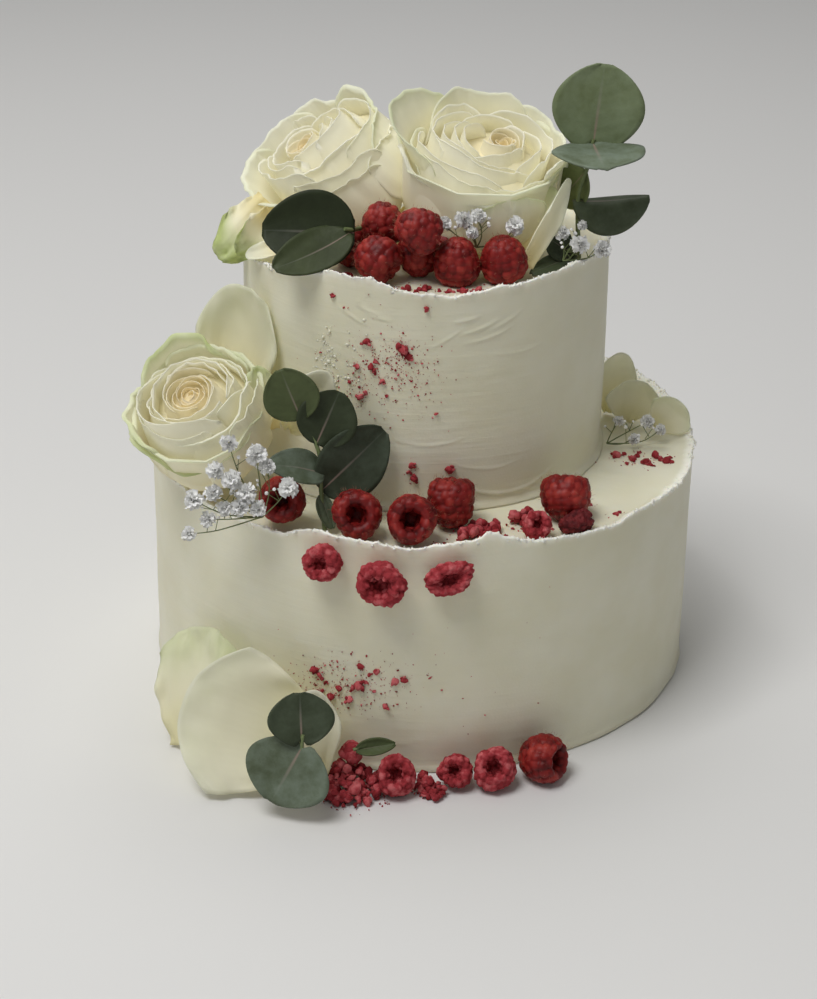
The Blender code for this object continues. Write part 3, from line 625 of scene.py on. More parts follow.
def edgeForm(cake, cos, sin):
    # lean and thickness of the torn edge, and how far the slope inside it runs
    look = icingLook
    lean = look["lean"] + look["leanWave"] * around(cake, cos, sin, 9, 3.0)
    lip = look["lip"] + look["lipWave"] * around(cake, cos, sin, 4, 7.0)
    slope = look["slope"] + look["slopeWave"] * around(cake, cos, sin, 14, 9.0)
    return lean, lip, slope


def toolMarks(cake, heading, z):
    # drag lines that sag as they go round, knife ridges and a thin bead along the foot
    look, seed = icingLook, cake["seed"]
    angle = math.radians(heading)
    cos, sin = math.cos(angle), math.sin(angle)
    sag = z + look["sag"] * math.sin(angle * 1.5 + seed) + 2.0 * wobble((cos * 3, sin * 3, 2.0), seed)
    proud = look["dragLine"] * wobble((cos * 2.2, sin * 2.2, sag / 2.4), seed + 1)
    proud += look["fineLine"] * wobble((cos * 7, sin * 7, sag / 3.0), seed + 2)
    for at, tall, length, tilt, height in cake["ridges"]:
        along, over = math.radians(heading - at) * cake["radius"], z - tall
        if abs(along) < length:
            bow = over - along * tilt - look["ridgeBow"] * along * along
            proud += height * math.exp(-(bow / look["ridgeThick"]) ** 2) * (1 - (along / length) ** 2)
    low = z - cake["bottom"]
    bead = look["bead"] + look["beadWave"] * wobble((cos * 9, sin * 9, 4.0), seed)
    proud += bead * math.exp(-((low - look["beadHeight"]) / look["beadThick"]) ** 2)
    return proud + cake["flare"] * math.exp(-low / 1.1)


def icingPoint(cake, heading, share):
    # share runs 0 to 1 up the side, 1 to 2 over the torn edge and 2 to 3 across the top
    look, radius, bottom, top, seed = icingLook, cake["radius"], cake["bottom"], cake["top"], cake["seed"]
    angle = math.radians(heading)
    cos, sin = math.cos(angle), math.sin(angle)

    def sideReach(z, waves):
        # the side before any tool marks
        even = radius + look["outOfRound"] * math.sin(2 * angle + seed + z * 0.03)
        return even + look["handWave"] * wobble((cos * 2.6, sin * 2.6, z / 38), seed) * waves

    shoulder = top - look["shoulder"]
    if share <= 1.0:
        z = bottom + (shoulder - bottom) * share
        reach = sideReach(z, 1.0) + toolMarks(cake, heading, z)
        return cos * reach, sin * reach, z
    lean, lip, slope = edgeForm(cake, cos, sin)
    if share <= 2.0:
        edge, crestAt = edgeHeight(cake, heading), look["crestAt"]
        if share - 1.0 < crestAt:
            # up the outer face of the edge
            s = (share - 1.0) / crestAt
            z = shoulder + (edge - shoulder) * math.sin(math.pi / 2 * s)
            reach = sideReach(z, 1 - s) + lean * s * s - 0.25 * s ** 4
            reach += look["tear"] * around(cake, cos, sin, 2.6, z / 2.0) * s
        else:
            # over the crest and down inside
            s = (share - 1.0 - crestAt) / (1.0 - crestAt)
            reach = radius + lean - lip * min(1.0, s * 4) - slope * max(0.0, s - 0.25) / 0.75
            fall = smooth(0.12, 1.0, s) ** 0.75
            z = edge + (top + look["rise"] - edge) * fall + 0.3 * math.sin(math.pi * min(1, s * 4))
            z += look["tear"] * around(cake, cos, sin, 3, s * 3) * (1 - s)
        return cos * reach, sin * reach, z
    # the flat top, pushed about with a palette knife
    t = share - 2.0
    reach = (radius + lean - lip - slope) * (1.0 - t)
    x, y = cos * reach, sin * reach
    strokes = look["stroke"] * wobble((x / 16, y / 5, 0.0), seed)
    strokes += look["fineStroke"] * wobble((x / 5, y / 2.2, 3.0), seed)
    return x, y, top + look["rise"] * (1 - t) ** 6 + strokes * min(1, t * 6)


def iceCake(cake):
    steps, sideRows = cake["steps"], cake["sideRows"]
    edgeRows, topRows = icingLook["edgeRows"], icingLook["topRows"]
    shares = [row / sideRows for row in range(sideRows + 1)]
    shares += [1.0 + row / edgeRows for row in range(1, edgeRows + 1)]
    shares += [2.0 + 0.985 * (row / topRows) for row in range(1, topRows + 1)]
    verts = []
    for share in shares:
        for step in range(steps):
            verts.append(icingPoint(cake, -180.0 + 360.0 * step / steps, share))
    faces = []
    for row in range(len(shares) - 1):
        for step in range(steps):
            after = (step + 1) % steps
            faces.append((row * steps + step, row * steps + after,
                          (row + 1) * steps + after, (row + 1) * steps + step))
    verts += [(0, 0, cake["top"]), (0, 0, cake["bottom"])]
    last = (len(shares) - 1) * steps
    for step in range(steps):
        after = (step + 1) % steps
        faces.append((last + step, last + after, len(verts) - 2))
        faces.append((after, step, len(verts) - 1))
    # painted crest light for each row, only round the crest: a whiter tint standing in for the light the
    # ridge catches
    paintedCrestLight = [smooth(1.2, 1.42, share) * (1 - smooth(1.62, 1.85, share)) for share in shares]
    edge = [value for value in paintedCrestLight for _ in range(steps)] + [0.0, 0.0]
    obj = makeObject(cake["nodeName"] + "_icing", verts, faces, buttercream, {"edge": edge})
    settle(obj, "icing", cake["nodeName"])


print("icing")
iceCake(lowerCake)
iceCake(upperCake)


def tornFlecks(cake, count, patches, seed):
    # ragged little lumps of icing left by the scraper on the torn edge, and rough patches on the side
    rng = random.Random(seed)
    places, sizes, facing = [], [], []
    for _ in range(count):
        heading = rng.uniform(-180, 180)
        share = 1.0 + min(0.8, max(0.3, rng.gauss(0.52, 0.09)))
        x, y, z = icingPoint(cake, heading, share)
        half = min(0.95, 0.18 + rng.expovariate(4.5))
        places.append((x, y, z - half * 0.25))
        sizes.append(half * 0.001)
        angle = math.radians(heading)
        facing.append((math.cos(angle) + rng.uniform(-0.5, 0.5), math.sin(angle) + rng.uniform(-0.5, 0.5),
                       rng.uniform(0.1, 0.9)))
    for heading, z, wide, tall, many in patches:
        for _ in range(many):
            at = heading + rng.gauss(0, wide)
            half = min(0.9, 0.15 + rng.expovariate(5.0))
            places.append(onSide(cake, at, z + rng.gauss(0, tall), half * 0.05))
            sizes.append(half * 0.001)
            angle = math.radians(at)
            facing.append((math.cos(angle), math.sin(angle), rng.uniform(-0.4, 0.6)))
    # painted crest light: flecks on the crest are painted whiter than the flecks in the side patches
    paintedCrestLight = [0.8] * count + [0.2] * (len(places) - count)
    flecks = makeObject(cake["nodeName"] + "_flecks", places, [], None,
                        {"size": sizes, "facing": facing, "edge": paintedCrestLight})
    runTree(flecks, drupeletTree, {"Faces": 1, "Flatness": 0.6, "Knock": 0.002, "Knock Scale": 650.0,
                                   "Skin": buttercream})
    settle(flecks, "icing", cake["nodeName"])


# Crumbs and dust pressed into the icing or scattered on it

def crumbPoints(crumbs, seed):
    # crumbs are (x, y, z, half size); each gets a facing and a tone
    rng = random.Random(seed)
    verts, sizes, facing, tone = [], [], [], []
    for x, y, z, half in crumbs:
        verts.append((x, y, z))
        sizes.append(half * 0.001)
        facing.append((rng.uniform(-1, 1), rng.uniform(-1, 1), rng.uniform(-1, 1)))
        tone.append(rng.uniform(0.0, 0.5))
    return verts, {"size": sizes, "facing": facing, "tone": tone}


def makeCrumbs(name, crumbs, seed, faces=2):
    verts, values = crumbPoints(crumbs, seed)
    obj = makeObject(name, verts, [], None, values)
    runTree(obj, drupeletTree, {"Faces": faces, "Flatness": 0.7, "Knock": 0.0022, "Knock Scale": 420.0,
                                "Skin": driedSkin})
    return obj


def onSide(cake, heading, z, proud):
    # a place standing proud of a cake's side
    share = (z - cake["bottom"]) / (cake["top"] - icingLook["shoulder"] - cake["bottom"])
    x, y, _ = icingPoint(cake, heading, min(1.0, share))
    angle = math.radians(heading)
    return x + proud * math.cos(angle), y + proud * math.sin(angle), z


sideCrumbs = {
    # heading, height, size of the crumbs that can be told apart
    "upper": ((-107.6, 173.6, 4.0), (-96.3, 171.7, 5.6), (-95.0, 169.0, 3.2), (-106.3, 163.1, 3.6),
              (-110.4, 162.3, 2.8), (-105.2, 161.2, 2.4), (-102.7, 157.6, 2.8), (-109.4, 149.4, 3.8),
              (-107.8, 151.4, 2.6), (-104.8, 165.5, 2.4), (-89.9, 189.6, 2.8), (-118.4, 190.6, 2.4),
              (-93.5, 121.1, 3.6), (-92.8, 115.2, 4.2), (-94.6, 118.0, 2.6), (-82.4, 119.0, 4.4),
              (-86.7, 143.9, 1.7), (-101.2, 151.0, 1.8), (-113.0, 155.0, 1.8), (75.0, 168.0, 3.4)),
    "lower": ((-111.2, 44.3, 4.6), (-110.3, 42.0, 3.2), (-106.3, 37.5, 3.2), (-107.9, 33.0, 4.2),
              (-110.4, 33.7, 3.4), (-102.2, 40.4, 5.2), (-103.4, 38.8, 3.0), (-104.0, 33.1, 4.0),
              (-101.8, 49.5, 3.4), (-98.5, 47.5, 2.8), (-95.0, 43.9, 3.8), (-93.2, 44.6, 3.8),
              (-96.9, 31.7, 3.0), (-100.8, 42.2, 2.2), (-99.2, 38.4, 1.8), (-108.8, 39.6, 2.2),
              (-100.0, 45.5, 1.9), (-88.2, 46.0, 1.2), (-86.0, 40.0, 1.0)),
    # heading, height, spread in degrees and millimetres, how many grains
    "upperDust": ((-96.5, 167.0, 3.6, 6.5, 240), (-91.5, 160.0, 5.0, 8.0, 130),
                  (-107.0, 163.0, 4.0, 7.0, 150), (-110.0, 152.0, 3.4, 5.0, 90),
                  (-104.0, 156.0, 7.0, 12.0, 120), (-93.5, 117.0, 1.5, 3.0, 26),
                  (-118.0, 150.0, 5.0, 16.0, 50)),
    "lowerDust": ((-103.0, 41.0, 5.0, 6.5, 260), (-110.0, 39.0, 3.5, 6.0, 130), (-109.0, 34.0, 4.0, 3.6, 90),
                  (-96.0, 42.0, 4.0, 8.0, 70), (-80.0, 35.0, 10.0, 22.0, 26)),
    "ledge": ((84.5, -22.0, 4.4), (88.0, -20.0, 2.6), (91.0, -25.0, 4.2), (93.5, -22.0, 2.8),
              (96.5, -28.5, 4.6), (101.5, -22.5, 5.2), (103.5, -25.5, 3.2), (106.0, -27.5, 4.8),
              (99.0, -31.0, 2.6), (79.5, -79.0, 3.2), (5.0, -110.0, 4.0), (13.0, -110.5, 3.4),
              (8.5, -107.5, 2.4), (17.0, -108.0, 2.2), (-60.0, 78.0, 4.4), (-52.0, 84.0, 5.0),
              (88.5, -29.5, 2.0), (95.0, -18.0, 2.2), (33.0, -100.5, 2.6), (52.0, -93.0, 2.0),
              (1.0, -93.0, 1.8), (70.0, -70.0, 2.0), (108.0, -23.0, 2.4)),
    "top": ((-7.4, -66.5, 4.4), (-0.6, -66.0, 4.6), (14.5, -68.5, 4.4), (20.5, -67.0, 4.4),
            (-44.0, -47.5, 6.6), (-38.3, -51.0, 5.0), (-33.5, -54.5, 6.4), (-4.0, -68.0, 2.4),
            (17.5, -68.5, 2.6), (25.0, -66.5, 2.4), (-29.5, -58.0, 3.6), (-41.0, -48.0, 3.2),
            (-12.0, -66.5, 2.4), (5.0, -67.0, 2.6), (9.0, -68.0, 3.2)),
}


def pressCrumbs(cake, name, big, dust, flat, seed):
    rng = random.Random(seed)
    crumbs = []
    for heading, z, size in big:
        # each crumb is a small clump of broken bits
        crumbs.append((*onSide(cake, heading, z, size * 0.12), size * 0.42))
        for _ in range(3):
            off = rng.uniform(-0.4, 0.4) * size
            spin = math.degrees(rng.uniform(-0.45, 0.45) * size / cake["radius"])
            crumbs.append((*onSide(cake, heading + spin, z + off, size * 0.2),
                           size * rng.uniform(0.16, 0.26)))
    specks = []
    for heading, z, wide, tall, count in dust:
        for _ in range(count):
            at = heading + rng.gauss(0, wide)
            half = min(0.6, 0.09 + rng.expovariate(9.0))
            height = max(cake["bottom"] + 1.0, z + rng.gauss(0, tall))
            specks.append((*onSide(cake, at, height, half * 0.3), half))
    for x, y, size in flat:
        crumbs.append((x, y, cake["top"] + size * 0.22, size * 0.42))
        for _ in range(4):
            dx, dy = rng.uniform(-0.5, 0.5) * size, rng.uniform(-0.5, 0.5) * size
            crumbs.append((x + dx, y + dy, cake["top"] + size * 0.2, size * rng.uniform(0.14, 0.26)))
        for _ in range(5):
            dx, dy = rng.gauss(0, 1.0) * size, rng.gauss(0, 1.0) * size
            crumbs.append((x + dx, y + dy, cake["top"] + 0.3, rng.uniform(0.15, 0.4)))
    settle(makeCrumbs(name, crumbs, seed), "dried_raspberry", cake["nodeName"])
    settle(makeCrumbs(name + "_dust", specks, seed + 50, faces=1), "dried_raspberry", cake["nodeName"])


print("torn icing")
tornFlecks(lowerCake, 1600, (), 31)
tornFlecks(upperCake, 1300, ((-121, 166, 1.6, 4.5, 90), (-118.5, 156, 2.2, 6, 80), (-113, 170, 6, 10, 40)),
           32)

print("crumbs on the icing")
pressCrumbs(lowerCake, "lower_tier_crumbs", sideCrumbs["lower"], sideCrumbs["lowerDust"],
            sideCrumbs["ledge"], 11)
pressCrumbs(upperCake, "upper_tier_crumbs", sideCrumbs["upper"], sideCrumbs["upperDust"], sideCrumbs["top"],
            12)


# Roses

def lippedPetal(petal, turn, origin):
    # a petal hung from its lip: marks of heading, distance from the flower's middle and height
    lip, body, seed = petal["lip"], petal["body"], petal["seed"]
    rows, rollRows, columns = 15, 6, 30
    middle = throughMarks(lip, 0.5)[0]
    verts, along, across = [], [], []
    for row in range(rows + rollRows + 1):
        v = min(1.0, row / rows)
        bend = max(0, row - rows) / rollRows * petal["roll"]
        for column in range(columns + 1):
            t = column / columns
            u = 2 * t - 1
            heading, radius, height = throughMarks(lip, t)
            place = math.radians(heading) * radius / 6
            curlSize = petal["rollSize"] * (0.75 + 0.5 * wobble((place * 0.8, 2.0, 0.0), seed))
            # small waves and nicks of the lip
            height += petal["wave"] * (0.9 * wobble((place * 0.9, 0.0, 0.0), seed)
                                       + 0.45 * wobble((place * 2.6, 4.0, 0.0), seed))
            height -= petal["height"] * 0.10 * abs(u) ** 8
            wide = 0.25 + 0.75 * smooth(0.0, 0.7, v)
            angle = math.radians(middle + (heading - middle) * wide)
            swell = math.sin(math.pi / 2 * min(1.0, v / 0.55)) ** 0.8
            closing = max(0.0, (v - 0.5) / 0.5) ** petal["close"]
            crest = radius - curlSize * (1 - math.cos(petal["roll"]))
            reach = 2.5 + (body - 2.5) * swell + (crest - body) * closing
            reach += petal["wave"] * v * v * (1.2 * wobble((place * 1.2, v * 1.5, 7.0), seed)
                                              + 0.4 * wobble((place * 3.0, v * 3, 9.0), seed))
            reach += curlSize * (1 - math.cos(bend))
            rolled = curlSize * math.sin(min(petal["roll"], math.pi / 2))
            rise = (height - rolled) * v + curlSize * math.sin(bend)
            shift = smooth(0.2, 1.0, v)
            local = Vector((reach * math.cos(angle) + petal["shift"][0] * shift,
                            reach * math.sin(angle) + petal["shift"][1] * shift, rise))
            verts.append(tuple(Vector(origin) + turn @ local))
            along.append(v * (0.86 + 0.14 * max(0, row - rows) / rollRows))
            across.append(u)
    green = [petal["green"] * smooth(0.72, 1.0, a) for a in along]
    values = sheetValues(along, across, [petal["ring"]] * len(verts), green)
    return verts, gridFaces(rows + rollRows, columns), values


def coilPetals(rose):
    # the tight heart: petals wound one behind the other, each overlapping the next
    coil = rose["coil"]
    petals = []
    for index in range(coil["count"]):
        share = index / (coil["count"] - 1)
        radius = 2.0 + (coil["radius"] - 2.0) * share ** 0.9
        heading = coil["start"] + index * 152
        spread = 165 - 75 * share
        top = coil["height"] - coil["dip"] * (1 - share)
        petals.append({
            "lip": ((heading - spread, radius * 1.12, top - 2.5),
                    (heading - spread * 0.5, radius * 1.02, top - 0.3), (heading, radius * 0.94, top + 0.5),
                    (heading + spread * 0.5, radius * 0.86, top - 0.6),
                    (heading + spread, radius * 0.70, top - 3.0)),
            "body": radius + 3.0, "close": 1.8, "roll": 0.4 + 0.6 * share, "rollSize": 0.5 + 0.6 * share,
            "wave": 0.5 + 0.4 * share, "height": top, "shift": coil["shift"], "ring": 0.02 + 0.30 * share,
            "green": 0.0, "seed": rose["seed"] + index * 1.3})
    return petals


def packedMiddle(rose, turn, origin):
    # the inner petals are pressed together, so the gaps between lips are only a few millimetres deep
    pack = rose["pack"]
    verts, ring = [], []
    rows, columns = 10, 36
    for row in range(rows + 1):
        for column in range(columns + 1):
            out, angle = row / rows, math.tau * column / columns
            reach = pack["radius"] * out
            height = pack["height"] - pack["sag"] * out ** 2
            height += 0.9 * wobble((math.cos(angle) * reach / 5, math.sin(angle) * reach / 5, 3.0),
                                   rose["seed"])
            shift = 1 - out
            local = Vector((reach * math.cos(angle) + rose["coil"]["shift"][0] * shift,
                            reach * math.sin(angle) + rose["coil"]["shift"][1] * shift, height))
            verts.append(tuple(Vector(origin) + turn @ local))
            ring.append(0.05 + 0.6 * out)
    plain = [0.0] * len(verts)
    return verts, gridFaces(rows, columns), sheetValues([0.4] * len(verts), plain, ring, plain)


def makeRose(rose):
    origin = Vector(rose["foot"])
    turn = axesAlong(rose["axis"], (1, 0, 0))
    petals = coilPetals(rose)
    for index, (body, roll, rollSize, green, lip) in enumerate(rose["petals"]):
        heights = [mark[2] for mark in lip]
        petals.append({"lip": lip, "body": body, "roll": roll, "rollSize": rollSize,
                       "wave": rose["wave"] * (0.35 + 1.25 * (body / rose["fullRadius"]) ** 2),
                       "close": 1.8, "height": sum(heights) / len(heights), "shift": (0, 0), "green": green,
                       "ring": min(1.0, body / rose["fullRadius"]), "seed": rose["seed"] + 30 + index * 1.7})
    sheets = [lippedPetal(petal, turn, origin) for petal in petals] + [packedMiddle(rose, turn, origin)]
    for guard in rose["guards"]:
        sheets.append(blade(**guard))
    verts, faces, values = join(sheets)
    flower = makeObject(rose["name"] + "_petals", verts, faces, roseSkin, values)
    thicken(flower, 0.35)
    settle(flower, "rose_petal", rose["name"])
    # green cup under the petals and the cut stalk
    stalk = makeStems(rose["name"] + "_stalk", (
        ([rose["stalkEnd"], origin - turn @ Vector((0, 0, 2.5)), origin + turn @ Vector((0, 0, 2.0))], 2.2,
         4.6),),
        stemSkin)
    settle(stalk, "rose_petal", rose["name"])


def sheetValues(along, across, ring, green, light=0.5, bloom=0.0):
    # what the skins read from each point of a petal or leaf
    count = len(along)
    return {"along": along, "across": across, "ring": ring, "green": green,
            "light": [light] * count, "bloom": [bloom] * count}


def bladePoint(shape, u, v):
    # a leaf or loose petal lying along Y, showing its Z side
    if shape["roundTop"]:
        reach = v * (1.0 - shape["drop"] * abs(u) ** 2.4)
        half = shape["foot"] + (1.0 - shape["foot"]) * math.sin(math.pi / 2 * min(1.0, reach / 0.68))
    else:
        reach = v - shape["notch"] * (1 - v) ** 6 * smooth(0.0, 0.7, abs(u)) * 1.2
        half = max(0.02, math.sin(math.pi * (0.015 + 0.97 * v) ** shape["drop"]) ** 0.56)
    x = u * half * shape["width"] / 2
    y = reach * shape["length"]
    z = shape["cup"] * u * u * half + shape["bend"] * 4 * reach * (1 - reach)
    z += shape["curl"] * smooth(0.7, 1.0, reach) + shape["side"] * smooth(0.55, 1.0, u)
    z -= shape["ridge"] * math.exp(-(u / 0.12) ** 2) * (1 - v)
    z += shape["wave"] * wobble((u * 1.8, v * 2.2, 0.0), shape["seed"]) * (0.3 + 0.7 * abs(u))
    nearRim = smooth(0.5, 1.0, max(abs(u), reach))
    z += shape["ruffle"] * wobble((u * 5.0, v * 5.0, 3.0), shape["seed"]) * nearRim
    return Vector((x, y, z))


def blade(base, tip, face, width, cup=2.0, bend=0.0, curl=0.0, wave=1.0, ruffle=0.0, side=0.0, ridge=0.4,
          roundTop=False, drop=None, foot=0.16, notch=0.0, green=0.0, light=0.5, bloom=0.0, rows=18,
          columns=14, seed=0.0):
    start, end = Vector(base), Vector(tip)
    alongAxis = (end - start).normalized()
    acrossAxis = alongAxis.cross(Vector(face)).normalized()
    turn = Matrix((acrossAxis, alongAxis, acrossAxis.cross(alongAxis))).transposed()
    if drop is None:
        drop = 0.42 if roundTop else 0.86
    shape = {"width": width, "length": (end - start).length, "cup": cup, "bend": bend, "curl": curl,
             "wave": wave, "ruffle": ruffle, "side": side, "ridge": 0.0 if roundTop else ridge,
             "roundTop": roundTop, "drop": drop, "foot": foot, "notch": notch, "seed": seed + base[0]}
    verts, along, across = [], [], []
    for row in range(rows + 1):
        for column in range(columns + 1):
            u, v = -1.0 + 2.0 * column / columns, row / rows
            verts.append(tuple(start + turn @ bladePoint(shape, u, v)))
            along.append(v)
            across.append(u)
    tint = [green * smooth(0.45, 1.0, a) for a in along]
    values = sheetValues(along, across, [1.0] * len(verts), tint, light, bloom)
    return verts, gridFaces(rows, columns), values


